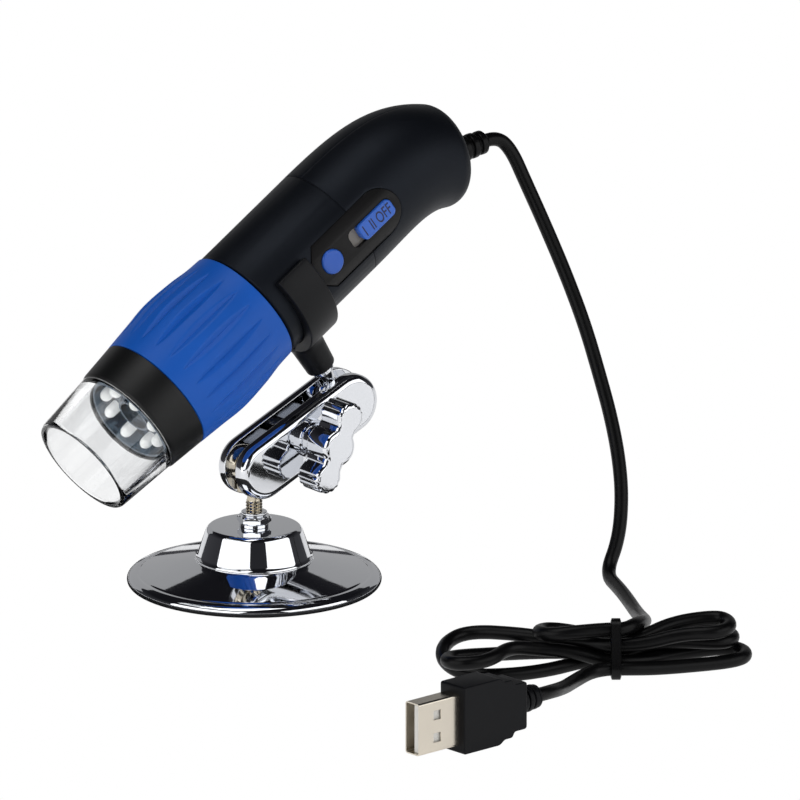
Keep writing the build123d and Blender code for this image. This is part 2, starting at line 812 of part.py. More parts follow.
dish_floor_thickness = 0.8
dish_wall = 0.7
dish_height = 4.2
dish_rear = lamp_board_front - lamp_flange_height - seat_gap
window_radius = 3.8
window_rim = 1.2
with BuildPart() as lamp_dish:
    with BuildSketch(section_plane):
        with BuildLine():
            Polyline(
                (window_radius, dish_rear),
                (lamp_ring_radius + lamp_radius + dish_wall, dish_rear),
                (hood_spigot_bore - free_gap, dish_rear - dish_height),
                (hood_spigot_bore - free_gap - dish_wall, dish_rear - dish_height),
                (
                    lamp_ring_radius + lamp_radius + dish_wall / 2,
                    dish_rear - dish_floor_thickness,
                ),
                (window_radius + window_rim, dish_rear - dish_floor_thickness),
                (window_radius + window_rim / 2, dish_rear - window_rim * 2),
                (window_radius, dish_rear - window_rim * 2),
                close=True,
            )
        make_face()
    revolve(axis=scope_axis)
    with BuildSketch(scope_plane.offset(dish_rear + overrun)):
        with PolarLocations(lamp_ring_radius, lamp_count):
            Circle(lamp_radius + seat_gap)
    extrude(amount=-dish_height - overrun * 2, mode=Mode.SUBTRACT)
finish(lamp_dish, "lamp_dish")

window_thickness = 1.0
with BuildPart() as lens_window:
    with BuildSketch(scope_plane.offset(dish_rear)):
        Circle(window_radius)
    extrude(amount=-window_thickness)
finish(lens_window, "lens_window")

# The lens carriage slides in the sleeve, moved by a pin in the ring's groove
carriage_front = -27.0
carriage_rear = -9.0
carriage_radius = 7.6
carriage_bore = 5.4
carriage_collar = 2.6
with BuildPart() as lens_carriage:
    with BuildSketch(section_plane):
        with BuildLine():
            Polyline(
                (carriage_bore, carriage_front),
                (sleeve_bore - running_gap, carriage_front),
                (sleeve_bore - running_gap, carriage_front + carriage_collar),
                (carriage_radius, carriage_front + carriage_collar),
                (carriage_radius, carriage_rear - carriage_collar),
                (sleeve_bore - running_gap, carriage_rear - carriage_collar),
                (sleeve_bore - running_gap, carriage_rear),
                (carriage_bore, carriage_rear),
                close=True,
            )
        make_face()
    revolve(axis=scope_axis)
finish(lens_carriage, "lens_carriage")

lens_radius = carriage_bore
lens_thickness = 2.4
with BuildPart() as objective_lens:
    with BuildSketch(scope_plane.offset(carriage_front + carriage_collar / 2)):
        Circle(lens_radius)
    extrude(amount=lens_thickness)
    lens_rims = objective_lens.edges().filter_by(GeomType.CIRCLE)
    chamfer(lens_rims, lens_thickness / 4)
finish(objective_lens, "objective_lens")

with BuildPart() as focus_pin:
    with BuildSketch(
        Plane(
            origin=scope_origin + tail_way * pin_station + up_way * carriage_radius,
            x_dir=tail_way,
            z_dir=up_way,
        )
    ):
        Circle(pin_radius)
    extrude(amount=sleeve_radius + relief_depth - side_gap - carriage_radius)
finish(focus_pin, "focus_pin")

# The image sensor on its round board across the sleeve
sensor_board_front = -4.0
sensor_size = 6.0
sensor_height = 1.2
with BuildPart() as sensor_board:
    with BuildSketch(scope_plane.offset(sensor_board_front)):
        Circle(sleeve_bore - seat_gap)
    extrude(amount=ring_board_thickness)
finish(sensor_board, "sensor_board")

with BuildPart() as image_sensor:
    with BuildSketch(scope_plane.offset(sensor_board_front)):
        Rectangle(sensor_size, sensor_size)
    extrude(amount=-sensor_height)
finish(image_sensor, "image_sensor")

# The strain relief: a rubber sleeve moulded on the cord, with a flange inside the shells
# and three ribs outside
rib_count = 3
rib_length = 1.7
rib_groove = 0.45
flange_length = 1.6
relief_inner = flange_length + end_wall + free_gap
with BuildPart() as strain_relief:
    with BuildSketch(relief_plane.offset(-relief_inner)):
        Circle(relief_flange_radius)
    extrude(amount=flange_length)
    with BuildSketch(relief_plane.offset(-relief_inner)):
        Circle(relief_neck_radius)
    extrude(amount=relief_inner)
    with BuildSketch(relief_plane):
        Circle(relief_root_radius - rib_groove)
    extrude(amount=relief_length)
    for step in range(rib_count):
        rib_start = relief_length - (rib_count - step) * (rib_length + rib_groove * 1.6)
        rib_radius = relief_root_radius - step * rib_groove / rib_count
        with BuildSketch(relief_plane.offset(rib_start)):
            Circle(rib_radius)
        extrude(amount=rib_length)
finish(strain_relief, "strain_relief")


def path_radii(points):
    """The largest arc that each corner's two runs allow."""
    radii = []
    for before, here, after in zip(points, points[1:], points[2:]):
        into = Vector(*here) - Vector(*before)
        away = Vector(*after) - Vector(*here)
        turn = math.radians(into.get_angle(away))
        radii.append(0.45 * min(into.length, away.length) / math.tan(turn / 2))
    return radii


def report_tube(name, tube, path):
    """Prints a tube's length, and its volume against its section times its length."""
    section = math.pi * cord_radius**2
    print(name, "length", round(path.length, 1))
    print(name, "volume share", round(tube.volume / (section * path.length), 4))


# The hank lies on its tie. Its middle and its own directions on the floor:
hank_middle = Vector(21.1, -100.5, 0)
hank_turn = -36.7
hank_plane = Plane(hank_middle).rotated((0, 0, hank_turn))
tie_thickness = 0.7
tie_gap = 0.25
tie_width = 2.4
tie_place = 5.0
strand_pitch = cord_radius * 2 + 0.55
low_layer = cord_radius + tie_thickness + tie_gap
left_end = -35.0
right_end = 35.5
entry_along, entry_across = 12.2, 8.5
leave_along, leave_across = -1.5, -11.0
entry_share = 2.2
# At the tie the strands lie in slots, given as shares of the strand pitch: across, up
waist_shares = (
    (-0.5, 2.0),
    (0.5, 1.0),
    (-0.5, 1.0),
    (0.5, 0.0),
    (-0.5, 0.0),
    (2.0, 0.0),
    (-2.0, 0.0),
)
# Each end turn's place in from the hank's end, across and up, as shares of the pitch
left_shares = ((5.8, 0.0, 2.3), (2.2, -0.3, 1.4), (0.0, 0.3, 0.0))
right_shares = ((1.2, 0.1, 2.7), (2.0, 0.0, 1.1), (0.0, 0.0, 0.0))


def floor_point(along, across, height):
    """A point of the hank's plane as a point of the model."""
    return hank_plane.from_local_coords(Vector(along, across, height))


def floor_way(along, across):
    """A level direction of the hank's plane as a unit direction of the model."""
    return (floor_point(along, across, 0) - floor_point(0, 0, 0)).normalized()


def hank_knots():
    """The points and directions that the hank's quarter turns join."""
    entry_height = low_layer + entry_share * strand_pitch
    knots = [(floor_point(entry_along, entry_across, entry_height), floor_way(-0.1, -1))]
    for strand in range(len(waist_shares)):
        across, up = waist_shares[strand]
        way = -1 if strand % 2 == 0 else 1
        place = floor_point(tie_place, across * strand_pitch, low_layer + up * strand_pitch)
        knots.append((place, floor_way(way, 0)))
        turn = strand // 2
        if strand == len(waist_shares) - 1:
            break
        if way < 0:
            inward, across, up = left_shares[turn]
            end = left_end + inward * strand_pitch
        else:
            inward, across, up = right_shares[turn]
            end = right_end - inward * strand_pitch
        place = floor_point(end, across * strand_pitch, low_layer + up * strand_pitch)
        knots.append((place, floor_way(0, -way)))
    knots.append((floor_point(leave_along, leave_across, low_layer), floor_way(-0.6, -0.8)))
    return knots


def quarter_joint(start, start_way, end, end_way):
    """Where two arcs meet that leave start along start_way and reach end along end_way."""
    span = end - start
    ways = start_way + end_way
    square = 2 * (1 - start_way.dot(end_way))
    middle = 2 * span.dot(ways)
    reach = (-middle + math.sqrt(middle**2 + 4 * square * span.dot(span))) / (2 * square)
    first_corner = start + start_way * reach
    second_corner = end - end_way * reach
    return (first_corner + second_corner) * 0.5, (second_corner - first_corner).normalized()


def least_gap(path):
    """The least space between stretches of a cord that lie apart along it."""
    count = int(path.length / (cord_radius / 2))
    points = [tuple(path.position_at(i / count)) for i in range(count + 1)]
    apart = 10
    least = min(
        math.dist(points[i], points[j])
        for i in range(len(points))
        for j in range(i + apart, len(points))
    )
    return least - 2 * cord_radius


knots = hank_knots()
hank_start = knots[0][0] - knots[0][1] * cord_radius * 2
hank_end = knots[-1][0] + knots[-1][1] * cord_radius * 2
with BuildPart() as cord_hank:
    with BuildLine() as hank_path:
        Line(hank_start, knots[0][0])
        for (start, start_way), (end, end_way) in zip(knots, knots[1:]):
            joint, joint_way = quarter_joint(start, start_way, end, end_way)
            TangentArc(start, joint, tangent=start_way)
            TangentArc(joint, end, tangent=joint_way)
        Line(knots[-1][0], hank_end)
    with BuildSketch(Plane(origin=hank_start, z_dir=knots[0][1])):
        Circle(cord_radius)
    sweep()
finish(cord_hank, "cord_hank")
hank_wire = hank_path.wire()
report_tube("cord_hank", cord_hank.part, hank_wire)
print("cord_hank least gap", round(least_gap(hank_wire), 2))
hank_arcs = hank_path.edges().filter_by(GeomType.CIRCLE)
print("cord_hank least radius", round(min(arc.radius for arc in hank_arcs), 1))

# The tie: one band of black plastic drawn tight round the strands at the waist
tie_plane = Plane(
    origin=floor_point(tie_place, 0, 0), x_dir=floor_way(0, 1), z_dir=floor_way(1, 0)
)
strand_spots = [
    (across * strand_pitch, low_layer + up * strand_pitch) for across, up in waist_shares
]
with BuildPart() as cord_tie:
    for band_radius, band_mode in (
        (cord_radius + tie_gap + tie_thickness, Mode.ADD),
        (cord_radius + tie_gap, Mode.SUBTRACT),
    ):
        with BuildSketch(tie_plane):
            with Locations(*strand_spots):
                Circle(band_radius)
            make_hull()
        extrude(amount=tie_width / 2, both=True, mode=band_mode)
finish(cord_tie, "cord_tie")

# The cord's free stretches: the riser from the strain relief down to the hank, and the
# lead from the hank to the plug. Their points lie where the cord is seen to lie.
exit_run = 4.2
entry_run = 6.9
relief_mouth = relief_plane.origin + relief_plane.z_dir * relief_length
riser_points = [
    relief_mouth,
    relief_mouth + relief_plane.z_dir * exit_run,
    Vector(74.0, -1.4, 92.0),
    Vector(75.0, -4.4, 84.0),
    Vector(76.4, -8.8, 75.5),
    Vector(77.9, -15.2, 64.0),
    Vector(78.5, -21.8, 53.0),
    Vector(78.2, -27.5, 43.0),
    Vector(77.6, -32.6, 34.5),
    Vector(76.2, -37.6, 26.0),
    Vector(73.9, -42.0, 17.6),
    Vector(70.2, -45.6, 9.0),
    Vector(65.2, -47.2, 1.9),
    Vector(61.2, -57.7, 1.65),
    Vector(58.5, -67.9, 1.65),
    Vector(54.1, -77.7, 2.6),
    Vector(48.2, -87.0, 6.5),
    hank_start - knots[0][1] * entry_run,
    hank_start,
]
plug_rear = Vector(-17.0, -129.0, 7.75)
plug_way = Vector(-0.995, -0.098, 0).normalized()
leave_run = 4.0
plug_run = 5.0
lead_points = [
    hank_end,
    hank_end + knots[-1][1] * leave_run,
    Vector(-0.7, -117.3, 2.8),
    Vector(-5.6, -123.0, 5.0),
    plug_rear - plug_way * plug_run,
    plug_rear,
]
for stretch_name, points in (("cord_riser", riser_points), ("cord_lead", lead_points)):
    with BuildPart() as cord_stretch:
        with BuildLine() as stretch_path:
            FilletPolyline(*points, radius=path_radii(points))
        with BuildSketch(Plane(origin=points[0], z_dir=points[1] - points[0])):
            Circle(cord_radius)
        sweep()
    finish(cord_stretch, stretch_name)
    print(stretch_name, "radii", [round(radius, 1) for radius in path_radii(points)])
    report_tube(stretch_name, cord_stretch.part, stretch_path.wire())

# The inner lead runs from the strain relief to the main board
inner_lead_radius = 1.3
inner_run = 6.0
relief_inside = relief_plane.origin - relief_plane.z_dir * relief_inner
board_edge = panel_plane.from_local_coords(
    Vector(board_end, 0, board_top - board_thickness / 2)
)
inner_points = [
    relief_inside,
    relief_inside - relief_plane.z_dir * inner_run,
    board_edge + tail_way * inner_run,
    board_edge,
]
with BuildPart() as inner_lead:
    with BuildLine():
        FilletPolyline(*inner_points, radius=path_radii(inner_points))
    with BuildSketch(Plane(origin=inner_points[0], z_dir=inner_points[1] - inner_points[0])):
        Circle(inner_lead_radius)
    sweep()
finish(inner_lead, "inner_lead")

# The plug stands on its narrow side: a ribbed relief, a stepped rubber grip moulded on
# the shell, the folded steel shell with its four windows, and the tongue inside
plug_plane = Plane(origin=plug_rear, x_dir=(0, 0, 1), z_dir=plug_way)
plug_relief_length = 6.0
plug_relief_radius = 3.3
plug_rib_count = 3
plug_rib_length = 1.2
plug_rib_groove = 0.5
with BuildPart() as usb_relief:
    with BuildSketch(plug_plane):
        Circle(plug_relief_radius - plug_rib_groove * 1.4)
    extrude(amount=plug_relief_length)
    for step in range(plug_rib_count):
        rib_start = plug_relief_length * (step + 0.4) / plug_rib_count
        with BuildSketch(plug_plane.offset(rib_start)):
            Circle(plug_relief_radius - plug_rib_groove * (plug_rib_count - 1 - step) / 2)
        extrude(amount=plug_rib_length)
finish(usb_relief, "usb_relief")

plug_neck_width, plug_neck_depth, plug_neck_length = 11.0, 7.0, 4.0
plug_collar_width, plug_collar_depth, plug_collar_length = 13.5, 7.6, 3.0
plug_grip_width, plug_grip_depth, plug_grip_length = 15.5, 8.0, 12.0
plug_grip_edge = 0.9
shell_insert = 5.0
plug_rubber_length = plug_neck_length + plug_collar_length + plug_grip_length
shell_wall = 0.3
shell_plane = plug_plane.offset(plug_relief_length + plug_rubber_length - shell_insert)
shell_corner = 0.6
with BuildPart() as usb_overmould:
    step_start = plug_relief_length
    for step_width, step_depth, step_length in (
        (plug_neck_width, plug_neck_depth, plug_neck_length),
        (plug_collar_width, plug_collar_depth, plug_collar_length),
        (plug_grip_width, plug_grip_depth, plug_grip_length),
    ):
        with BuildSketch(plug_plane.offset(step_start)):
            RectangleRounded(step_width, step_depth, plug_grip_edge)
        extrude(amount=step_length)
        step_start = step_start + step_length
    with BuildSketch(shell_plane):
        RectangleRounded(
            plug_shell_width + seat_gap * 2, plug_shell_thickness + seat_gap * 2, shell_corner
        )
    extrude(amount=shell_insert, mode=Mode.SUBTRACT)
finish(usb_overmould, "usb_overmould")

window_size = 2.2
window_spread = 5.2
window_reach = 6.6
with BuildPart() as usb_shell:
    with BuildSketch(shell_plane):
        RectangleRounded(plug_shell_width, plug_shell_thickness, shell_corner)
        RectangleRounded(
            plug_shell_width - shell_wall * 2,
            plug_shell_thickness - shell_wall * 2,
            shell_corner - shell_wall,
            mode=Mode.SUBTRACT,
        )
    extrude(amount=shell_insert + plug_shell_length)
    window_plane = Plane(origin=shell_plane.origin, x_dir=(0, 0, 1), z_dir=shell_plane.y_dir)
    with BuildSketch(window_plane):
        with Locations(
            (window_spread / 2, -shell_insert - window_reach),
            (-window_spread / 2, -shell_insert - window_reach),
        ):
            Rectangle(window_size, window_size)
    extrude(amount=plug_shell_thickness, both=True, mode=Mode.SUBTRACT)
finish(usb_shell, "usb_shell")

tongue_thickness = 1.9
tongue_offset = 0.75
tongue_short = 0.9
with BuildPart() as usb_tongue:
    with BuildSketch(shell_plane.offset(seat_gap)):
        with Locations((0, -tongue_offset)):
            Rectangle(plug_shell_width - (shell_wall + seat_gap) * 2, tongue_thickness)
    extrude(amount=shell_insert + plug_shell_length - tongue_short)
finish(usb_tongue, "usb_tongue")
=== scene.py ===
import json
import math

import bmesh
import bpy
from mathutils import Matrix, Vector


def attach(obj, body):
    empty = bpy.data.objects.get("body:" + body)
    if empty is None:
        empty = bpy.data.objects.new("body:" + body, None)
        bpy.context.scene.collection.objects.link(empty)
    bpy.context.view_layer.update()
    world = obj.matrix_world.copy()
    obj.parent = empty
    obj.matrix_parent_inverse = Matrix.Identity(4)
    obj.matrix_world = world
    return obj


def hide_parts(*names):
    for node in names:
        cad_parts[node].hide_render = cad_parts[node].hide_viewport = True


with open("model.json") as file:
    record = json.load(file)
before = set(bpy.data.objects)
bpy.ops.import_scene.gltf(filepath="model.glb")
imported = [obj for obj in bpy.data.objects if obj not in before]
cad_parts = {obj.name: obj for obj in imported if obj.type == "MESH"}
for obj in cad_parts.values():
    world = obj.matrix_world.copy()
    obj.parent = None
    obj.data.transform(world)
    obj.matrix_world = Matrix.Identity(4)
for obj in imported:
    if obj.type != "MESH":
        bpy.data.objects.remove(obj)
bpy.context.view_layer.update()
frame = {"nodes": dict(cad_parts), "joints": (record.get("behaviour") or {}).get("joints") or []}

# The camera stands a little above the bench and well back, with a long lens, so that the
# stand is seen from its front left, as it was photographed.
mm = 0.001
view_turn = math.radians(-36.7)
view_rise = math.radians(16.0)
view_aim = Vector((14.8, -36.0, 49.5)) * mm
view_reach = 4.0
view_width = 181.8 * mm
toward_camera = Vector(
    (
        math.sin(view_turn) * math.cos(view_rise),
        -math.cos(view_turn) * math.cos(view_rise),
        math.sin(view_rise),
    )
)
camera_data = bpy.data.cameras.new("camera")
camera_data.lens = camera_data.sensor_width * view_reach / view_width
camera = bpy.data.objects.new("camera", camera_data)
camera.location = view_aim + toward_camera * view_reach
camera.rotation_euler = (-toward_camera).to_track_quat("-Z", "Y").to_euler()
bpy.context.collection.objects.link(camera)
bpy.context.scene.camera = camera

# The bench is a sheet of matt white board. Large soft boxes stand round it, and the room
# above them is dim, which is what gives the chrome its dark and light bands.
bpy.context.scene.view_settings.view_transform = "Standard"
patch_size = 7 * mm


def finish_of(name, colour, rough, metal=0.0, grain=0.3, lift=0.004, tone=0.12, gloss=0.05, **rest):
    """A finish with its fine grain, and a tone and gloss that vary a little over it."""
    material = bpy.data.materials.new(name)
    material.use_nodes = True
    tree = material.node_tree
    shader = tree.nodes["Principled BSDF"]
    place = tree.nodes.new("ShaderNodeTexCoord")
    fine = tree.nodes.new("ShaderNodeTexNoise")
    fine.inputs["Scale"].default_value = 1 / (grain * mm)
    fine.inputs["Detail"].default_value = 3
    wide = tree.nodes.new("ShaderNodeTexNoise")
    wide.inputs["Scale"].default_value = 1 / patch_size
    wide.inputs["Detail"].default_value = 4
    bump = tree.nodes.new("ShaderNodeBump")
    bump.inputs["Distance"].default_value = lift * mm
    tones = tree.nodes.new("ShaderNodeMix")
    tones.data_type = "RGBA"
    tones.inputs["A"].default_value = [c * (1 - tone) for c in colour[:3]] + [1]
    tones.inputs["B"].default_value = [min(1, c * (1 + tone)) for c in colour[:3]] + [1]
    polish = tree.nodes.new("ShaderNodeMapRange")
    polish.inputs["To Min"].default_value = max(0.0, rough - gloss)
    polish.inputs["To Max"].default_value = rough + gloss
    for noise in (fine, wide):
        tree.links.new(place.outputs["Object"], noise.inputs["Vector"])
    tree.links.new(fine.outputs["Fac"], bump.inputs["Height"])
    tree.links.new(bump.outputs["Normal"], shader.inputs["Normal"])
    tree.links.new(wide.outputs["Fac"], tones.inputs["Factor"])
    tree.links.new(tones.outputs["Result"], shader.inputs["Base Color"])
    tree.links.new(wide.outputs["Fac"], polish.inputs["Value"])
    tree.links.new(polish.outputs["Result"], shader.inputs["Roughness"])
    shader.inputs["Metallic"].default_value = metal
    for socket, value in rest.items():
        shader.inputs[socket.replace("_", " ")].default_value = value
    return material


def plain_to_camera(tree, lit, plain, output):
    """Shows the camera and clear pieces a plain light, and every other ray the lit one."""
    path = tree.nodes.new("ShaderNodeLightPath")
    either = tree.nodes.new("ShaderNodeMath")
    either.operation = "MAXIMUM"
    mix = tree.nodes.new("ShaderNodeMixShader")
    tree.links.new(path.outputs["Is Camera Ray"], either.inputs[0])
    tree.links.new(path.outputs["Is Transmission Ray"], either.inputs[1])
    tree.links.new(either.outputs["Value"], mix.inputs["Fac"])
    tree.links.new(lit, mix.inputs[1])
    tree.links.new(plain, mix.inputs[2])
    tree.links.new(mix.outputs["Shader"], output.inputs["Surface"])


bench_reach = 3.0
bench_mesh = bmesh.new()
bench_mesh.faces.new(
    [
        bench_mesh.verts.new((x * bench_reach, y * bench_reach, 0))
        for x, y in ((-1, -1), (1, -1), (1, 1), (-1, 1))
    ]
)
bench_data = bpy.data.meshes.new("bench")
bench_mesh.to_mesh(bench_data)
bench = bpy.data.objects.new("bench", bench_data)
bpy.context.collection.objects.link(bench)
bench_white = finish_of("bench_white", (0.93, 0.93, 0.93), 0.6, tone=0.01, grain=2, lift=0.0)
bench_tree = bench_white.node_tree
bench_shader = bench_tree.nodes["Principled BSDF"]
bench_shader.inputs["Emission Color"].default_value = (1, 1, 1, 1)
bench_shader.inputs["Emission Strength"].default_value = 0.45
bench_seen = bench_tree.nodes.new("ShaderNodeEmission")
plain_to_camera(
    bench_tree,
    bench_shader.outputs["BSDF"],
    bench_seen.outputs["Emission"],
    bench_tree.nodes["Material Output"],
)
bench_data.materials.append(bench_white)

# A round black card lies on the bench under the stand. Only reflections show it, and it
# gives the base and the arm the black bands that polished chrome has.
card_reach = 60 * mm
card_points = 64
card_mesh = bmesh.new()
card_mesh.faces.new(
    [
        card_mesh.verts.new((math.cos(turn) * card_reach, math.sin(turn) * card_reach, 0.1 * mm))
        for turn in (math.tau * point / card_points for point in range(card_points))
    ]
)
card_data = bpy.data.meshes.new("card")
card_mesh.to_mesh(card_data)
card = bpy.data.objects.new("card", card_data)
bpy.context.collection.objects.link(card)
card.visible_camera = False
card.visible_diffuse = False
card.visible_transmission = False
card.visible_shadow = False
card_data.materials.append(finish_of("card_black", (0.012, 0.012, 0.013), 0.8, tone=0.02, lift=0.0))

for box_name, turn, rise, reach, width, height, power in (
    ("left_box", -84, 20, 0.9, 1.2, 0.6, 3.4),
    ("right_box", 24, 20, 0.9, 1.1, 0.6, 3.0),
    ("top_box", -80, 76, 0.9, 0.5, 0.7, 2.2),
    ("rear_box", 150, 15, 1.1, 2.0, 0.55, 1.1),
):
    light = bpy.data.lights.new(box_name, "AREA")
    light.shape = "RECTANGLE"
    light.size = width
    light.size_y = height
    light.energy = power
    lamp = bpy.data.objects.new(box_name, light)
    turn, rise = math.radians(turn), math.radians(rise)
    out = Vector(
        (math.sin(turn) * math.cos(rise), -math.cos(turn) * math.cos(rise), math.sin(rise))
    )
    lamp.location = view_aim + out * reach
    lamp.rotation_euler = out.to_track_quat("Z", "Y").to_euler()
    lamp.visible_camera = False
    bpy.context.collection.objects.link(lamp)

world = bpy.data.worlds.new("room")
bpy.context.scene.world = world
world.use_nodes = True
room = world.node_tree
room_light = room.nodes["Background"]
room_place = room.nodes.new("ShaderNodeTexCoord")
room_split = room.nodes.new("ShaderNodeSeparateXYZ")
room_ramp = room.nodes.new("ShaderNodeValToRGB")
room_ramp.color_ramp.elements[0].position = 0.0
room_ramp.color_ramp.elements[0].color = (0.05, 0.05, 0.055, 1)
room_ramp.color_ramp.elements[1].position = 0.6
room_ramp.color_ramp.elements[1].color = (0.008, 0.008, 0.01, 1)
room.links.new(room_place.outputs["Generated"], room_split.inputs["Vector"])
room.links.new(room_split.outputs["Z"], room_ramp.inputs["Fac"])
room.links.new(room_ramp.outputs["Color"], room_light.inputs["Color"])
room_seen = room.nodes.new("ShaderNodeBackground")
room_seen.inputs["Color"].default_value = (0.96, 0.96, 0.96, 1)
plain_to_camera(
    room,
    room_light.outputs["Background"],
    room_seen.outputs["Background"],
    room.nodes["World Output"],
)

# The cord is 3.2 mm of black flexible PVC over thin copper cores. It leaves the strain
# relief at the tail, falls to the bench, is folded in a hank and ends in the plug.
joints = {joint["name"]: joint for joint in frame["joints"]}
scope_start = Vector(joints["focus_turn"]["pos_m"])
tail_way = Vector(joints["focus_turn"]["axis"]).normalized()
scope_up = Vector(joints["clip_swivel"]["axis"]).normalized()
side_way = Vector((0, -1, 0))
scope_end = 62.2 * mm
grip_drop = 9.4 * mm
grip_turn = math.radians(-25.2)
relief_rise = 0.3 * mm
relief_length = 11.6 * mm
relief_way = (tail_way * math.cos(grip_turn) + scope_up * math.sin(grip_turn)).normalized()
relief_up = side_way.cross(relief_way)
relief_foot = scope_start + tail_way * scope_end - scope_up * grip_drop + relief_up * relief_rise
cord_exit = relief_foot + relief_way * relief_length
cord_radius = 1.6 * mm
exit_run = 3.4 * mm
riser_corners = [
    Vector(corner) * mm
    for corner in (
        (72.6, -1.2, 91.6),
        (74.6, -4.2, 84.0),
        (76.2, -8.8, 75.5),
        (77.9, -15.2, 64.0),
        (78.5, -21.8, 53.0),
        (78.2, -27.5, 43.0),
        (77.6, -32.6, 34.5),
        (76.2, -37.6, 26.0),
        (73.9, -42.0, 17.6),
        (70.2, -45.6, 9.0),
        (65.2, -47.2, 1.9),
        (61.2, -57.7, 1.65),
        (57.0, -66.7, 1.65),
        (52.1, -76.2, 1.9),
        (43.7, -89.9, 5.0),
    )
]

# The hank's seven strands lie in slots at the tie, in shares of their pitch, across and up.
# Each is bent at listed points between the tie and the turns at the hank's two ends. A turn has the
# place of its tip, the middle of its width and height, half its width, and its tilt.
hank_middle = Vector((21.1, -100.5, 0)) * mm
hank_turn = math.radians(-36.7)
hank_along = Vector((math.cos(hank_turn), math.sin(hank_turn), 0))
hank_across = Vector((-math.sin(hank_turn), math.cos(hank_turn), 0))
tie_thickness = 0.7 * mm
tie_gap = 0.25 * mm
tie_width = 2.4 * mm
tie_place = 5.0 * mm
tie_run = 2.0 * mm
strand_pitch = cord_radius * 2 + 0.55 * mm
low_layer = cord_radius + tie_thickness + tie_gap
waist_shares = ((-0.5, 2), (0.5, 1), (-0.5, 1), (0.5, 0), (2, 0), (-0.5, 0), (-2, 0))
strand_bends = (
    (((11.6, 9.5, 8.6), (9.8, 2.0, 10.3)), ((-4.0, -3.4, 9.9),)),
    (((-3.0, 5.2, 7.2),), ((11.0, 2.4, 7.0), (18.0, 7.2, 9.0))),
    (
        ((20.0, 0.8, 8.2), (12.0, -1.2, 6.6)),
        ((-4.0, 1.4, 6.2), (-9.0, 2.4, 6.4), (-16.0, 4.6, 7.0)),
    ),
    (
        ((-18.5, -9.5, 1.65), (-10.0, -5.6, 1.65), (-3.0, 0.6, 1.65)),
        ((12.0, 3.8, 4.2), (18.0, 4.8, 5.4)),
    ),
    (
        ((22.0, 12.4, 5.0), (13.0, 9.4, 3.2)),
        ((-5.0, 8.0, 1.8), (-13.0, 6.5, 2.2), (-22.0, -1.0, 4.0)),
    ),
    (
        ((-23.5, -13.0, 6.0), (-19.0, -4.6, 6.8), (-12.0, -3.2, 5.8), (-5.0, -2.6, 5.2)),
        ((12.0, 0.2, 2.0), (20.0, 7.5, 1.8)),
    ),
    (
        ((24.0, -1.6, 1.65), (14.0, -5.2, 1.9)),
        ((-1.0, -9.5, 2.3), (-4.8, -18.0, 2.6), (-7.0, -31.0, 5.2)),
    ),
)
hank_turns = (
    (-12.2, 1.2, 8.6, 4.8, -0.7),
    (30.7, 4.8, 9.2, 4.8, 0.5),
    (-34.0, -0.8, 4.1, 9.6, 2.4),
    (31.5, 8.5, 5.2, 4.8, 0.0),
    (-33.0, -10.0, 5.3, 4.8, -0.5),
    (34.3, 6.3, 1.8, 5.3, 0.1),
)


def hank_point(along, across, height):
    """A point of the hank, from its own middle and along its own length."""
    return hank_middle + hank_along * along + hank_across * across + Vector((0, 0, height))


def laid(bend):
    """A bend's place in the hank, given in millimetres."""
    return hank_point(*(size * mm for size in bend))


turn_corners = 4
turn_angle = math.pi / turn_corners
hank_corners = []
for strand, (across, up) in enumerate(waist_shares):
    before, after = strand_bends[strand]
    run = tie_run if strand % 2 else -tie_run
    spot = (across * strand_pitch, low_layer + up * strand_pitch)
    hank_corners += [laid(bend) for bend in before]
    hank_corners += [hank_point(tie_place - run, *spot), hank_point(tie_place + run, *spot)]
    hank_corners += [laid(bend) for bend in after]
    if strand < len(hank_turns):
        tip, middle, height, half_width, tilt = hank_turns[strand]
        outward = math.copysign(half_width, tip)
        first = 1 if after[-1][1] > middle else -1
        for step in range(turn_corners):
            angle = turn_angle * ((turn_corners - 1) / 2 - step)
            out_share = math.cos(angle) / math.cos(turn_angle / 2) - 1
            side_share = first * math.sin(angle) / math.cos(turn_angle / 2)
            side = middle + side_share * half_width
            hank_corners.append(laid((tip + outward * out_share, side, height + side_share * tilt)))

plug_run = 5.0 * mm
plug_rear = Vector((-17.0, -129.0, 7.75)) * mm
plug_way = Vector((-0.995, -0.098, 0)).normalized()
cord_corners = [cord_exit, cord_exit + relief_way * exit_run]
cord_corners += riser_corners + hank_corners
cord_corners += [plug_rear - plug_way * plug_run, plug_rear]
cord_line = bpy.data.curves.new("cord", "CURVE")
cord_line.dimensions = "3D"
cord_line.bevel_depth = cord_radius
cord_line.bevel_resolution = 7
cord_line.resolution_u = 16
cord_line.use_fill_caps = True
spline = cord_line.splines.new("NURBS")
spline.points.add(len(cord_corners) - 1)
for point, corner in zip(spline.points, cord_corners):
    point.co = (*corner, 1)
spline.order_u = 3
spline.use_endpoint_u = True
cord = bpy.data.objects.new("cord", cord_line)
bpy.context.collection.objects.link(cord)


def paint(red, green, blue):
    """A colour as a mixer names it, from 0 to 255, in the light's own measure."""
    shares = [channel / 255 for channel in (red, green, blue)]
    return [s / 12.92 if s <= 0.04045 else ((s + 0.055) / 1.055) ** 2.4 for s in shares] + [1]


cord_black = finish_of(
    "cord_black",
    paint(6, 6, 7),
    0.36,
    grain=0.5,
    lift=0.012,
    gloss=0.08,
    Specular_IOR_Level=0.17,
)
cord_line.materials.append(cord_black)
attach(cord, "scope")
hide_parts("cord_riser", "cord_hank", "cord_lead")

# The tie is one flat strip of black polythene, drawn tight round the strands and welded.
# It is an even band with rounded edges, and follows the outermost strands.


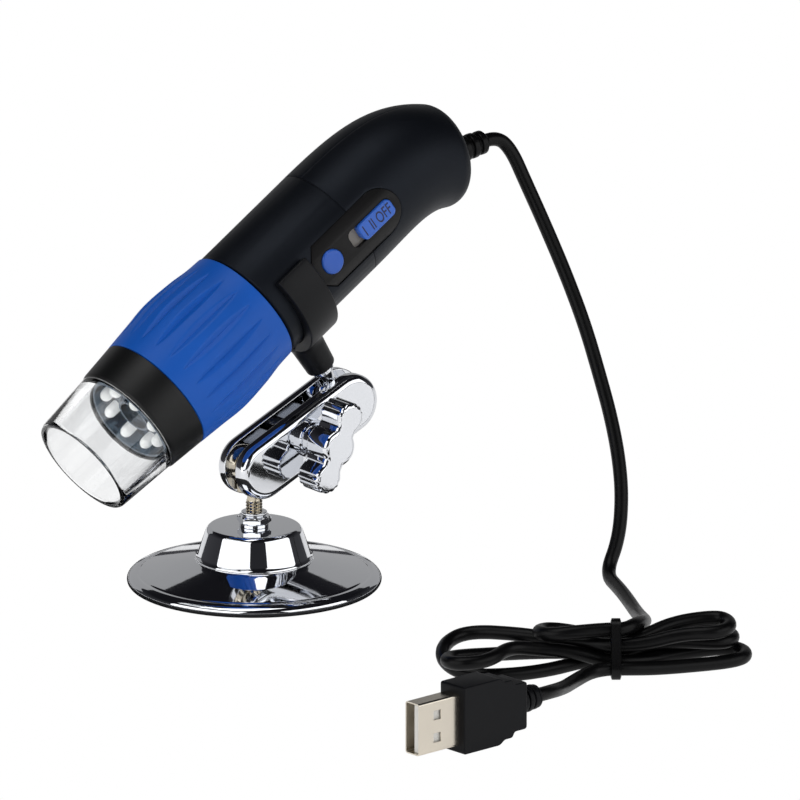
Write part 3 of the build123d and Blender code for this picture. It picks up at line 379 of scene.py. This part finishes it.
def settle(name, mesh, body, slot, material, *nodes):
    """Makes a piece of a finished mesh: its shading, its body, its finish and its node.

    A face with more than four corners is a flat end, and is shaded flat.
    """
    bmesh.ops.recalc_face_normals(mesh, faces=mesh.faces)
    crease = math.radians(32)
    for face in mesh.faces:
        face.smooth = len(face.verts) < 5
    for edge in mesh.edges:
        if edge.calc_face_angle(0) > crease:
            edge.smooth = False
    data = bpy.data.meshes.new(name)
    mesh.to_mesh(data)
    mesh.free()
    data.materials.append(material)
    piece = bpy.data.objects.new(name, data)
    bpy.context.collection.objects.link(piece)
    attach(piece, body)
    if nodes:
        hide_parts(*nodes)
    return piece


def skin(mesh, rings, close=False):
    """Joins rings of as many points each with faces, and the last to the first if closed."""
    pairs = list(zip(rings, rings[1:]))
    if close:
        pairs.append((rings[-1], rings[0]))
    for first, second in pairs:
        count = max(len(first), len(second))
        for i in range(count):
            j = (i + 1) % count
            if len(first) == 1:
                mesh.faces.new((first[0], second[i], second[j]))
            elif len(second) == 1:
                mesh.faces.new((first[i], first[j], second[0]))
            else:
                mesh.faces.new((first[i], first[j], second[j], second[i]))


def hull_line(spots, reach, points=120):
    """The line of a band drawn round circles of one radius, as points in order."""
    line = []
    for point in range(points):
        angle = math.tau * point / points
        ray = Vector((math.cos(angle), math.sin(angle)))
        far = max(spots, key=lambda spot: Vector(spot).dot(ray))
        line.append(Vector(far) + ray * reach)
    return line


strand_spots = [(across * strand_pitch, low_layer + up * strand_pitch) for across, up in waist_shares]
tie_inner = hull_line(strand_spots, cord_radius + tie_gap)
tie_outer = hull_line(strand_spots, cord_radius + tie_gap + tie_thickness)
tie_edge_share = 0.8
tie_mesh = bmesh.new()
tie_rings = []
for side, line, width_share in (
    (-1, tie_inner, 1.0),
    (-1, tie_outer, tie_edge_share),
    (1, tie_outer, tie_edge_share),
    (1, tie_inner, 1.0),
):
    along = tie_place + side * width_share * tie_width / 2
    tie_rings.append([tie_mesh.verts.new(hank_point(along, p.x, p.y)) for p in line])
skin(tie_mesh, tie_rings, close=True)
tie_black = finish_of("tie_black", paint(6, 6, 7), 0.34, grain=0.8, lift=0.01, Specular_IOR_Level=0.2)
tie = settle("tie", tie_mesh, "scope", "tie_black", tie_black, "cord_tie")

# The plug is moulded on the cord: a ribbed sleeve and a flat grip with stepped sides, both
# of satin black rubber, and the folded nickel-plated steel shell with its white tongue.


def rounded(corners, steps=5):
    """An outline with its corners rounded: each is two places and, if round, how far."""
    line = []
    for i, corner in enumerate(corners):
        here = Vector(corner[:2])
        if len(corner) < 3 or i in (0, len(corners) - 1):
            line.append(here)
            continue
        before = Vector(corners[i - 1][:2])
        after = Vector(corners[i + 1][:2])
        into = here + (before - here).normalized() * corner[2]
        away = here + (after - here).normalized() * corner[2]
        for step in range(steps + 1):
            share = step / steps
            line.append(into * (1 - share) ** 2 + here * 2 * share * (1 - share) + away * share**2)
    return line


def lathe(mesh, line, origin, axis, sides=96, shape=None, start=None, close=False):
    """Turns an outline of radii and places along the axis, in millimetres, into a skin."""
    across = (start or axis.orthogonal()).normalized()
    third = axis.cross(across)
    rings = []
    for radius, along in line:
        centre = origin + axis * (along * mm)
        if radius < 1e-6:
            rings.append([mesh.verts.new(centre)])
            continue
        ring = []
        for side in range(sides):
            angle = math.tau * side / sides
            reach = shape(angle, radius, along) if shape else radius
            way = across * math.cos(angle) + third * math.sin(angle)
            ring.append(mesh.verts.new(centre + way * (reach * mm)))
        rings.append(ring)
    skin(mesh, rings, close)


def edge_rows(start, end, start_edge, end_edge, steps=5):
    """Heights and insets for a block from start to end with its two edges rounded."""
    turns = [step / steps * math.pi / 2 for step in range(steps + 1)]
    foot = [(start + start_edge * (1 - math.sin(t)), start_edge * (1 - math.cos(t))) for t in turns]
    top = [(end - end_edge * (1 - math.sin(t)), end_edge * (1 - math.cos(t))) for t in turns]
    return foot[::-1] + top


def block(mesh, line, rows, origin, x_way, y_way, fade=None):
    """Stacks an outline, drawn in by each row's inset, from face to face."""
    count = len(line)
    out_ways = []
    for i in range(count):
        chord = line[(i + 1) % count] - line[i - 1]
        out_ways.append(Vector((chord.y, -chord.x)).normalized())
    lift_way = x_way.cross(y_way)
    rings = []
    for height, inset in rows:
        ring = []
        for i in range(count):
            extra = fade(i, inset) if fade else 0
            spot = line[i] - out_ways[i] * (inset + extra)
            place = origin + x_way * (spot.x * mm) + y_way * (spot.y * mm)
            ring.append(mesh.verts.new(place + lift_way * (height * mm)))
        rings.append(ring)
    skin(mesh, rings)
    mesh.faces.new(rings[0][::-1])
    mesh.faces.new(rings[-1])


def rib_corners(radius, groove, start, width, edges):
    """One rib of a sleeve: out of its groove, along its crest and down again."""
    foot = 0.15
    end = start + width
    return [(groove, start, foot), (radius, start, edges[0]), (radius, end, edges[1]), (groove, end, foot)]


plug_up = Vector((0, 0, 1))
plug_relief_length = 6.0
plug_relief_foot = 2.7
plug_relief_groove = 2.45
plug_relief_mouth = 3.2
plug_ribs = 3
plug_rib_radius = 2.85
plug_rib_growth = 0.22
plug_rib_start = 0.75
plug_rib_width = 1.3
plug_rib_pitch = 1.85
plug_relief_line = [(0, 0), (plug_relief_foot, 0, 0.2), (plug_relief_foot, 0.6, 0.1)]
for rib in range(plug_ribs):
    rib_start = plug_rib_start + rib * plug_rib_pitch
    rib_radius = plug_rib_radius + rib * plug_rib_growth
    plug_relief_line += rib_corners(
        rib_radius, plug_relief_groove, rib_start, plug_rib_width, (0.3, 0.3)
    )
plug_relief_line += [
    (plug_relief_mouth - 0.2, plug_relief_length - 0.2, 0.1),
    (plug_relief_mouth, plug_relief_length),
    (0, plug_relief_length),
]
plug_rubber = finish_of(
    "plug_rubber", paint(8, 9, 13), 0.45, grain=0.22, lift=0.01, Specular_IOR_Level=0.15
)
relief_mesh = bmesh.new()
lathe(relief_mesh, rounded(plug_relief_line), plug_rear, plug_way, sides=64)
plug_sleeve = settle("plug_sleeve", relief_mesh, "scope", "plug_rubber", plug_rubber, "usb_relief")

# The grip's outline seen from its broad side: places along the plug and half widths. It
# starts and ends on the end face, a hair apart.
grip_end = plug_relief_length + 19.0
grip_half_depth = 4.0
grip_half_width = 7.75
shoulder_half_width = 6.75
neck_half_width = 5.5
grip_edge = 0.3
grip_corner = 0.6
grip_seam = 0.1
grip_side = [
    (grip_end, grip_half_width, grip_corner),
    (14.1, grip_half_width, grip_corner),
    (12.7, shoulder_half_width, grip_corner),
    (10.3, shoulder_half_width, grip_corner),
    (9.7, neck_half_width, grip_corner),
    (plug_relief_length, neck_half_width, 0.8),
]
grip_corners = [(grip_end, 0)] + grip_side
grip_corners += [(along, -half, edge) for along, half, edge in reversed(grip_side)]
grip_line = rounded(grip_corners + [(grip_end, -grip_seam)], 4)
grip_rows = edge_rows(-grip_half_depth, grip_half_depth, grip_edge, grip_edge)
grip_mesh = bmesh.new()
block(grip_mesh, grip_line, grip_rows, plug_rear, plug_way, plug_up)
plug_grip = settle("plug_grip", grip_mesh, "scope", "plug_rubber", plug_rubber, "usb_overmould")


def dress(node, material):
    """Gives a CAD node that stays in sight its finish."""
    for holder in frame["nodes"][node].material_slots:
        holder.material = material


plug_nickel = finish_of(
    "plug_nickel", paint(214, 206, 192), 0.24, metal=1.0, grain=0.15, lift=0.002, tone=0.05
)
dress("usb_shell", plug_nickel)
dress("usb_tongue", finish_of("tongue_white", paint(226, 224, 218), 0.45))

# The strain relief is a sleeve of soft black PVC, moulded on the cord and held in the
# shells by its flange. Three ribs let it bend evenly.
relief_root = 3.1
relief_groove = 0.5
relief_rib = 1.7
relief_ribs = 3
relief_gap = 0.72
relief_pitch = relief_rib + relief_gap
relief_taper = 0.15
relief_neck = 2.6
relief_tip = relief_length / mm
flange_radius = 4.2
flange_start = -3.95
flange_end = -2.35
relief_line = [
    (0, flange_start),
    (flange_radius, flange_start, 0.2),
    (flange_radius, flange_end, 0.2),
    (relief_neck, flange_end, 0.1),
    (relief_neck, 0, 0.1),
    (relief_root - 0.1, 0.1, 0.1),
    (relief_root - 0.1, 2.6, 0.3),
]
for rib in range(relief_ribs):
    rib_start = relief_tip - (relief_ribs - rib) * relief_pitch
    rib_radius = relief_root - rib * relief_taper
    relief_line += rib_corners(
        rib_radius, rib_radius - relief_groove, rib_start, relief_rib, (0.4, 0.5)
    )
relief_line += [(2.0, relief_tip - 0.15, 0.2), (1.7, relief_tip), (0, relief_tip)]
sleeve_mesh = bmesh.new()
lathe(sleeve_mesh, rounded(relief_line), relief_foot, relief_way, sides=64)
settle("tail_sleeve", sleeve_mesh, "scope", "cord_black", cord_black, "strain_relief")
dress("inner_lead", cord_black)

# The base is one zinc casting, polished and chromed: a shallow cone with a stepped rim and
# a hub like a cut-off cone. A black foam pad is stuck in the recess underneath.
upright = Vector((0, 0, 1))
ground = Vector((0, 0, 0))
chrome = finish_of(
    "chrome_plating", paint(232, 234, 238), 0.045, metal=1.0, grain=6, lift=0.01, tone=0.03, gloss=0.02
)
base_radius = 29.2
recess_radius = 27.05
recess_height = 1.5
foot_height = 0.3
hub_foot = 13.5
hub_top = 13.9
base_line = [
    (0, recess_height),
    (recess_radius, recess_height),
    (recess_radius, foot_height),
    (base_radius - 0.6, foot_height, 0.3),
    (base_radius, foot_height + 0.6, 0.5),
    (base_radius, 1.8, 0.5),
    (base_radius - 0.7, 2.55, 0.4),
    (27.1, 3.0, 0.3),
    (26.5, 2.9, 0.3),
    (26.1, 3.15, 0.3),
    (hub_foot + 1.1, 5.75, 0.7),
    (hub_foot, 6.1, 0.3),
    (hub_foot + 0.05, 6.6, 0.4),
    (hub_foot - 0.4, 7.1, 0.4),
    (10.95, hub_top - 0.6, 0.5),
    (10.3, hub_top, 0.4),
    (0, hub_top),
]
base_mesh = bmesh.new()
lathe(base_mesh, rounded(base_line, 6), ground, upright, sides=256)
settle("base", base_mesh, "base", "chrome_plating", chrome, "base_plate")
dress("foot_pad", finish_of("pad_foam", paint(30, 30, 31), 0.9, grain=0.5, lift=0.12))
steel = finish_of("steel", paint(190, 188, 184), 0.3, metal=1.0, grain=0.2, lift=0.004)
dress("stem_retaining_nut", steel)

# The lower stud is turned steel, nickel-plated: a threaded stem that stands in the hub, a
# neck and a ball. The lock nut on it has a washer face, a hexagon and a round step.
stem_radius = 1.95
ball_height = joints["lower_tilt"]["pos_m"][2] / mm
thread_pitch = 0.7
thread_depth = 0.3
thread_sharpness = 1.4
thread_start, thread_end = 3.4, 20.0
neck_radius = 1.6
ball_radius = 4.5


def thread(angle, radius, along):
    """The stem's radius with its thread cut into it."""
    if not thread_start < along < thread_end or radius < neck_radius:
        return radius
    turn = (along / thread_pitch - angle / math.tau) % 1
    return radius - thread_depth * abs(2 * turn - 1) ** thread_sharpness


def ball_arc(centre, first, last, step=6):
    """A ball's outline between two angles, in whole degrees from its lower pole."""
    turns = [math.radians(angle) for angle in range(first, last, step)]
    return [(ball_radius * math.sin(t), centre - ball_radius * math.cos(t)) for t in turns]


stem_rows = 8
stem_foot = 2.7
stem_bevel = 0.3
stem_line = [
    (0, stem_foot),
    (stem_radius - stem_bevel, stem_foot),
    (stem_radius, stem_foot + stem_bevel),
]
stem_line += [
    (stem_radius, thread_start + thread_pitch / stem_rows * row)
    for row in range(int((thread_end - thread_start) / thread_pitch * stem_rows) + 1)
]
stem_line += [(neck_radius, thread_end + 0.5), (neck_radius, ball_height - ball_radius + 0.2)]
stem_line += ball_arc(ball_height, 24, 180)
stem_line += [(0, ball_height + ball_radius)]
stem_nickel = finish_of(
    "stem_nickel", paint(206, 196, 176), 0.16, metal=1.0, grain=0.25, lift=0.003, tone=0.06
)
stem_mesh = bmesh.new()
lathe(stem_mesh, stem_line, ground, upright, sides=48, shape=thread)
settle("threaded_stud", stem_mesh, "lower_stud", "chrome_plating", stem_nickel, "lower_ball_stud")

nut_flats = 6.9
nut_foot = 3.4
nut_corner = 3.98
hex_foot, hex_top = hub_top + 0.9, hub_top + 2.6


def hexagon(angle, radius, along):
    """The nut's radius, cut by its six flats over the hexagon's height."""
    if not hex_foot - 0.01 < along < hex_top + 0.01:
        return radius
    flat = (angle + math.pi / 6) % (math.pi / 3) - math.pi / 6
    return min(radius, nut_flats / 2 / math.cos(flat))


nut_line = rounded(
    [
        (stem_radius - 0.1, hub_top),
        (nut_foot, hub_top, 0.15),
        (nut_foot, hex_foot - 0.15, 0.1),
        (3.1, hex_foot, 0.05),
        (3.5, hex_foot + 0.02, 0.05),
        (nut_corner, hex_foot + 0.3, 0.05),
        (nut_corner, hex_top - 0.3, 0.05),
        (3.5, hex_top - 0.02, 0.05),
        (2.75, hex_top, 0.1),
        (2.75, hex_top + 0.15, 0.1),
        (3.0, hex_top + 0.25, 0.15),
        (3.0, hex_top + 0.9, 0.25),
        (stem_radius - 0.1, hex_top + 0.9),
    ]
)
nut_mesh = bmesh.new()
lathe(nut_mesh, nut_line, ground, upright, sides=96, shape=hexagon, close=True)
settle("lock_nut", nut_mesh, "lower_stud", "chrome_plating", chrome, "stem_lock_nut")

# The clamp arm is two chromed zinc plates with rounded outer faces. A steel screw, its head
# let into the rear plate, draws them together on the balls.
arm_middle = Vector(joints["knob_turn"]["pos_m"])
upper_ball = Vector(joints["upper_tilt"]["pos_m"])
arm_way = (upper_ball - ground - upright * (ball_height * mm)).normalized()
arm_span = (upper_ball - upright * (ball_height * mm)).length / mm
arm_width = 13.8
arm_gap = 4.0
plate_thickness = 3.5
plate_edge = 1.9
plate_inner_edge = 0.25
plate_steps = 24
plate_line = []
for end, first in ((1, -math.pi / 2), (-1, math.pi / 2)):
    for step in range(plate_steps + 1):
        angle = first + math.pi * step / plate_steps
        spot = Vector((math.cos(angle), math.sin(angle))) * (arm_width / 2)
        plate_line.append(spot + Vector((end * arm_span / 2, 0)))
for plate_name, node, body, facing in (
    ("front_plate_cover", "front_clamp_plate", "front_plate", 1),
    ("rear_plate_cover", "rear_clamp_plate", "arm", -1),
):
    plate_mesh = bmesh.new()
    block(
        plate_mesh,
        plate_line,
        edge_rows(arm_gap / 2, arm_gap / 2 + plate_thickness, plate_inner_edge, plate_edge, 8),
        arm_middle,
        arm_way * facing,
        side_way.cross(arm_way),
    )
    settle(plate_name, plate_mesh, body, "chrome_plating", chrome, node)
dress("clamp_screw", steel)
dress("knob_washer", chrome)

# The wing knob is cast zinc, chromed: a round boss under two lobes whose sides are ribbed
# for the fingers.
knob_turn = math.radians(64.0)
knob_way = Vector((math.cos(knob_turn), 0, math.sin(knob_turn)))
knob_foot, knob_shoulder, knob_top = 6.5, 9.1, 16.5
lobe_radius, lobe_reach = 3.7, 7.3
waist_half, knob_hub = 2.8, 4.4
knob_points = 220
knob_line = []
for point in range(knob_points):
    angle = math.tau * point / knob_points
    ray = Vector((math.cos(angle), math.sin(angle)))
    reach = knob_hub
    reach = max(reach, min(lobe_reach / max(abs(ray.x), 1e-6), waist_half / max(abs(ray.y), 1e-6)))
    inside = lobe_radius**2 - (lobe_reach * ray.y) ** 2
    if inside > 0:
        reach = max(reach, lobe_reach * abs(ray.x) + math.sqrt(inside))
    knob_line.append(ray * reach)
rib_pitch = 1.75
rib_depth = 0.4
rib_fade = 1.1
rib_run = [0.0]
for point in range(1, knob_points):
    rib_run.append(rib_run[-1] + (knob_line[point] - knob_line[point - 1]).length)


def knob_rib(point, inset):
    """How far the ribs on the lobes draw the knob's side in at this point."""
    if abs(knob_line[point].x) < knob_hub:
        return 0
    wave = abs(math.sin(math.pi * rib_run[point] / rib_pitch))
    return rib_depth * (1 - wave) * max(0.0, 1 - inset / rib_fade)


knob_under_edge, knob_top_edge = 0.5, 1.2
boss_bore, boss_radius = 2.06, 3.9
boss_top = knob_shoulder + 0.3
knob_mesh = bmesh.new()
knob_rows = edge_rows(knob_shoulder, knob_top, knob_under_edge, knob_top_edge, 6)
block(knob_mesh, knob_line, knob_rows, arm_middle, knob_way, side_way.cross(knob_way), knob_rib)
boss_line = [
    (boss_bore, knob_foot),
    (boss_radius - 0.3, knob_foot, 0.3),
    (boss_radius, knob_foot + 0.5, 0.3),
    (boss_radius, boss_top),
    (boss_bore, boss_top),
]
lathe(knob_mesh, rounded(boss_line), arm_middle, side_way, sides=72, close=True)
settle("wing_knob", knob_mesh, "knob", "chrome_plating", chrome, "clamp_knob")

# The upper stud is turned and chromed: a ball, a neck that widens in a cone to its collar,
# and a thread that is screwed into the brass insert in the clip.
collar_radius = 2.6
collar_top = 10.7
spigot_radius = 1.5
spigot_end = 17.7
stud_line = [(0, -ball_radius)]
stud_line += ball_arc(0, 6, 160)
stud_line += rounded(
    [
        (neck_radius, 4.3),
        (neck_radius, 7.2, 0.4),
        (2.1, 9.3, 0.1),
        (2.45, 9.4, 0.15),
        (collar_radius, 9.6, 0.15),
        (collar_radius, collar_top - 0.2, 0.2),
        (collar_radius - 0.3, collar_top, 0.1),
        (spigot_radius, collar_top),
        (spigot_radius, spigot_end - 0.1),
    ]
)
stud_line += [(0, spigot_end)]
stud_mesh = bmesh.new()
lathe(stud_mesh, stud_line, upper_ball, scope_up, sides=72)
settle("collar_stud", stud_mesh, "upper_stud", "chrome_plating", chrome, "upper_ball_stud")

# The clip is moulded in tough matt black plastic and springs round the barrel: a C whose
# far arm is the shorter one, on a flared socket. The insert in its socket is brass.
clip_start, clip_end = 3.9, 12.9
clip_bore, clip_outer = 14.66, 17.26
near_wrap, far_wrap = math.radians(119.5), math.radians(-111.0)
clip_steps = 60
clip_down = -scope_up
arm_tip = 0.6
clip_edge = 0.3
outer_arc = []
inner_arc = []
for step in range(1, clip_steps):
    angle = near_wrap + (far_wrap - near_wrap) * step / clip_steps
    ray = (math.sin(angle), math.cos(angle))
    outer_arc.append((ray[0] * clip_outer, ray[1] * clip_outer))
    inner_arc.append((ray[0] * clip_bore, ray[1] * clip_bore))
inner_arc.reverse()
tips = []
for radius, angle in (
    (clip_outer, far_wrap),
    (clip_bore, far_wrap),
    (clip_bore, near_wrap),
    (clip_outer, near_wrap),
):
    tips.append((math.sin(angle) * radius, math.cos(angle) * radius, arm_tip))
clip_corners = outer_arc + tips[:2] + inner_arc + tips[2:] + outer_arc[:1]
clip_line = rounded(clip_corners, 4)[:-1]
clip_mesh = bmesh.new()
clip_rows = edge_rows(clip_start, clip_end, clip_edge, clip_edge, 3)
block(clip_mesh, clip_line, clip_rows, scope_start, side_way, clip_down)
stud_reach = (scope_start - upper_ball).dot(scope_up) / mm
socket_bore, socket_radius, socket_flare = 2.4, 3.5, 5.6
socket_end = 10.85
socket_root = stud_reach - clip_outer + 1.3
socket_line = rounded(
    [
        (socket_bore, socket_end),
        (socket_radius, socket_end, 0.4),
        (socket_radius + 0.5, stud_reach - clip_outer - 1.6, 1.0),
        (socket_flare, socket_root),
        (socket_bore, socket_root),
    ]
)
lathe(clip_mesh, socket_line, upper_ball, scope_up, sides=72, close=True)
clip_black = finish_of(
    "clip_plastic", paint(15, 16, 19), 0.42, grain=0.3, lift=0.02, Specular_IOR_Level=0.2
)
settle("clip_ring", clip_mesh, "clip", "clip_plastic", clip_black, "scope_clip")
dress("clip_insert", finish_of("brass", paint(196, 160, 96), 0.3, metal=1.0))

# The microscope's barrel and its two grip shells are ABS with a soft-touch coat, a black
# that takes a blue-grey sheen where the light grazes it.
hair = 0.002 * mm


def ease(node, width):
    """Rounds the sharp edges of a CAD node that stays in sight."""
    weld = frame["nodes"][node].modifiers.new("weld", "WELD")
    weld.merge_threshold = hair
    bevel = frame["nodes"][node].modifiers.new("bevel", "BEVEL")
    bevel.width = width * mm
    bevel.segments = 2
    bevel.limit_method = "ANGLE"
    bevel.angle_limit = math.radians(40)
    bevel.harden_normals = True


soft_touch = finish_of(
    "soft_touch_black",
    paint(10, 12, 17),
    0.48,
    grain=0.16,
    lift=0.008,
    tone=0.1,
    Specular_IOR_Level=0.24,
    Specular_Tint=(0.72, 0.82, 1.0, 1),
)
for node in ("front_barrel", "grip_shell_left", "grip_shell_right"):
    dress(node, soft_touch)
    ease(node, 0.14)
dress("grip_screws", steel)

# The control panel is a thin inset of plain black ABS with a fine texture. Its groove
# shows all round, and the slot bares the grey track under the slider.
panel_black = finish_of(
    "panel_black", paint(10, 9, 10), 0.42, grain=0.12, lift=0.008, Specular_IOR_Level=0.24
)
dress("control_panel", panel_black)
ease("control_panel", 0.16)
dress("slider_track", finish_of("track_grey", paint(150, 145, 138), 0.5))
dress("snapshot_button", finish_of("button_blue", paint(38, 92, 192), 0.3, grain=0.2))
ease("snapshot_button", 0.3)
slider_blue = finish_of("blue_plastic", paint(48, 102, 202), 0.3, grain=0.2, lift=0.003)
dress("light_slider", slider_blue)
ease("light_slider", 0.2)

# Three marks are printed on the slider in dark blue, and follow its curved top: one bar, two
# bars and OFF, from the nose to the tail. They name the lamps' two levels and none.
panel_turn = math.radians(6.6)
panel_out = side_way * math.cos(panel_turn) + scope_up * math.sin(panel_turn)
panel_across = panel_out.cross(tail_way)
slider_top = 15.2
mark_size = 4.0
mark_squeeze = 0.66
mark_lift = 0.02 * mm
mark_blue = finish_of("mark_blue", paint(6, 18, 66), 0.4, grain=0.2)
slider_mesh = frame["nodes"]["light_slider"]
for mark, station in (("I", 28.9), ("II", 31.4), ("OFF", 35.1)):
    letters = bpy.data.curves.new("letters", "FONT")
    letters.body = mark
    letters.size = mark_size * mm
    letters.align_x = "CENTER"
    letters.align_y = "CENTER"
    letters.resolution_u = 6
    letters.offset = 0.03 * mm
    holder = bpy.data.objects.new("letters", letters)
    bpy.context.collection.objects.link(holder)
    graph = bpy.context.evaluated_depsgraph_get()
    flat = bpy.data.meshes.new_from_object(holder.evaluated_get(graph))
    bpy.data.objects.remove(holder)
    mark_mesh = bmesh.new()
    mark_mesh.from_mesh(flat)
    centre = scope_start + tail_way * (station * mm) + panel_out * (slider_top * mm * 2)
    for vertex in mark_mesh.verts:
        spot = centre + tail_way * (vertex.co.x * mark_squeeze) + panel_across * vertex.co.y
        hit, place = slider_mesh.ray_cast(spot, -panel_out)[:2]
        vertex.co = place + panel_out * mark_lift if hit else spot - panel_out * (slider_top * mm)
    settle("mark_" + mark, mark_mesh, "light_slider", "blue_plastic", mark_blue)

# The focus ring is blue rubber moulded on a sleeve. Twenty-two flutes shaped like long
# leaves give it grip, and fade out short of its plain ends.
ring_length = 30.2
flute_count = 22
flute_depth = 0.7
flute_half = 0.3
flute_margin = 3.8
flute_sides = 20
flute_floor = 14.0
flute_sharpness = 1.2
leaf_fullness = 0.6
ring_gap = 0.12
ring_front, ring_back = ring_gap - ring_length, -ring_gap
ring_places = (
    (ring_front, 15.0),
    (-23.6, 15.6),
    (-16.9, 16.2),
    (-9.1, 15.75),
    (-4.2, 15.1),
    (ring_back, 14.85),
)


def ring_radius(along):
    """The ring's outer radius here, on a smooth line through its measured places."""
    for i in range(len(ring_places) - 1):
        a, b = ring_places[i], ring_places[i + 1]
        if along <= b[0] or i == len(ring_places) - 2:
            before = ring_places[max(i - 1, 0)]
            after = ring_places[min(i + 2, len(ring_places) - 1)]
            span = b[0] - a[0]
            t = (along - a[0]) / span
            leave = (b[1] - before[1]) / (b[0] - before[0]) * span
            reach = (after[1] - a[1]) / (after[0] - a[0]) * span
            return (
                a[1] * (2 * t**3 - 3 * t**2 + 1)
                + leave * (t**3 - 2 * t**2 + t)
                + b[1] * (3 * t**2 - 2 * t**3)
                + reach * (t**3 - t**2)
            )


def fluted(angle, radius, along):
    """The ring's radius with its flutes, each a leaf that narrows to both ends."""
    share = (along + ring_length - flute_margin) / (ring_length - 2 * flute_margin)
    if radius < flute_floor or not 0 < share < 1:
        return radius
    leaf = math.sin(math.pi * share) ** leaf_fullness
    place = (angle * flute_count / math.tau) % 1 - 0.5
    reach = abs(place) / (flute_half * leaf)
    return radius - flute_depth * leaf * max(0.0, 1 - reach) ** flute_sharpness


ring_rows = 90
ring_bore = 12.26
ring_edge = 0.18
ring_run = ring_back - ring_front - 2 * ring_edge
ring_line = [(ring_bore, ring_front), (ring_radius(ring_front) - 0.3, ring_front)]
for row in range(ring_rows + 1):
    along = ring_front + ring_edge + ring_run * row / ring_rows
    ring_line.append((ring_radius(along), along))
ring_line += [(ring_radius(ring_back) - 0.2, ring_back), (ring_bore, ring_back)]
blue_rubber = finish_of(
    "blue_rubber", paint(14, 90, 190), 0.48, grain=0.18, lift=0.01, tone=0.08, Specular_IOR_Level=0.3
)
ring_mesh = bmesh.new()
lathe(
    ring_mesh,
    ring_line,
    scope_start,
    tail_way,
    sides=flute_count * flute_sides,
    shape=fluted,
    start=scope_up,
    close=True,
)
settle("fluted_ring", ring_mesh, "focus_ring", "blue_rubber", blue_rubber, "focus_ring")

# The nose band is moulded in satin black ABS and bonded to the sleeve. The hood's spigot
# is held in it.
band_end = -39.6
band_bore, band_seat = 12.25, 12.75
seat_start = -33.95
band_line = rounded(
    [
        (band_bore, -ring_length),
        (14.95, -ring_length, 0.15),
        (14.2, band_end + 0.6, 0.3),
        (13.8, band_end, 0.2),
        (band_seat, band_end),
        (band_seat, seat_start),
        (band_bore, seat_start),
    ]
)
satin_black = finish_of(
    "satin_black", paint(10, 11, 12), 0.42, grain=0.4, lift=0.006, Specular_IOR_Level=0.35
)
band_mesh = bmesh.new()
lathe(band_mesh, band_line, scope_start, tail_way, sides=160, close=True)
settle("nose_ring", band_mesh, "scope", "gloss_black", satin_black, "nose_band")

# The hood is clear cast acrylic, tapered, with a round lip. It lets the lamps' light in
# at the sides and keeps the lens at its distance from the work.
acrylic = finish_of(
    "clear_acrylic",
    (0.9, 0.905, 0.91, 1),
    0.03,
    grain=3,
    lift=0.01,
    tone=0.01,
    gloss=0.02,
    Transmission_Weight=1.0,
    IOR=1.42,
)
hood_bore, hood_spigot = 11.35, 12.7
hood_start, hood_end = -34.0, -54.8
hood_line = rounded(
    [
        (hood_bore, hood_start),
        (hood_spigot, hood_start, 0.1),
        (hood_spigot, band_end + 0.05, 0.05),
        (13.9, band_end, 0.3),
        (12.85, hood_end + 0.5, 0.5),
        (12.5, hood_end, 0.3),
        (11.7, hood_end, 0.3),
        (hood_bore - 0.05, hood_end + 0.7, 0.3),
        (hood_bore, band_end),
    ]
)
hood_mesh = bmesh.new()
lathe(hood_mesh, hood_line, scope_start, tail_way, sides=160, close=True)
settle("hood", hood_mesh, "scope", "clear_acrylic", acrylic, "clear_hood")

# Behind the hood eight white lamps of domed resin stand on their board. They look out of a
# dish of metal-coated plastic, round the lens window of coated glass.
# The dish's dark blue-grey colour is painted dark reflection, standing in for the dim room that its mirror
# coat shows.
dress(
    "lamp_dish",
    finish_of("dish_mirror", paint(74, 92, 108), 0.06, metal=1.0, grain=1, lift=0.05, tone=0.5),
)
lamp_white = finish_of("lamp_white", paint(240, 242, 238), 0.1, Coat_Weight=0.6)
lamp_shader = lamp_white.node_tree.nodes["Principled BSDF"]
lamp_shader.inputs["Emission Color"].default_value = (0.95, 0.97, 1, 1)
lamp_shader.inputs["Emission Strength"].default_value = 0.25
dress("lamps", lamp_white)
glass = finish_of(
    "optical_glass", (0.3, 0.33, 0.38, 1), 0.02, gloss=0.01, tone=0.01, Transmission_Weight=1.0
)
dress("lens_window", glass)
dress("objective_lens", glass)

# Inside the barrel are the green circuit boards with their switches and sensor, and the
# black lens carriage that the ring's groove moves along.
board_green = finish_of("board_green", paint(24, 92, 52), 0.35)
for node in ("main_board", "lamp_board", "sensor_board"):
    dress(node, board_green)
switch_black = finish_of("switch_black", paint(28, 28, 30), 0.4)
for node in ("tact_switch", "slide_switch", "image_sensor"):
    dress(node, switch_black)
dress("lens_carriage", finish_of("carriage_black", paint(24, 24, 26), 0.5))
dress("focus_pin", steel)
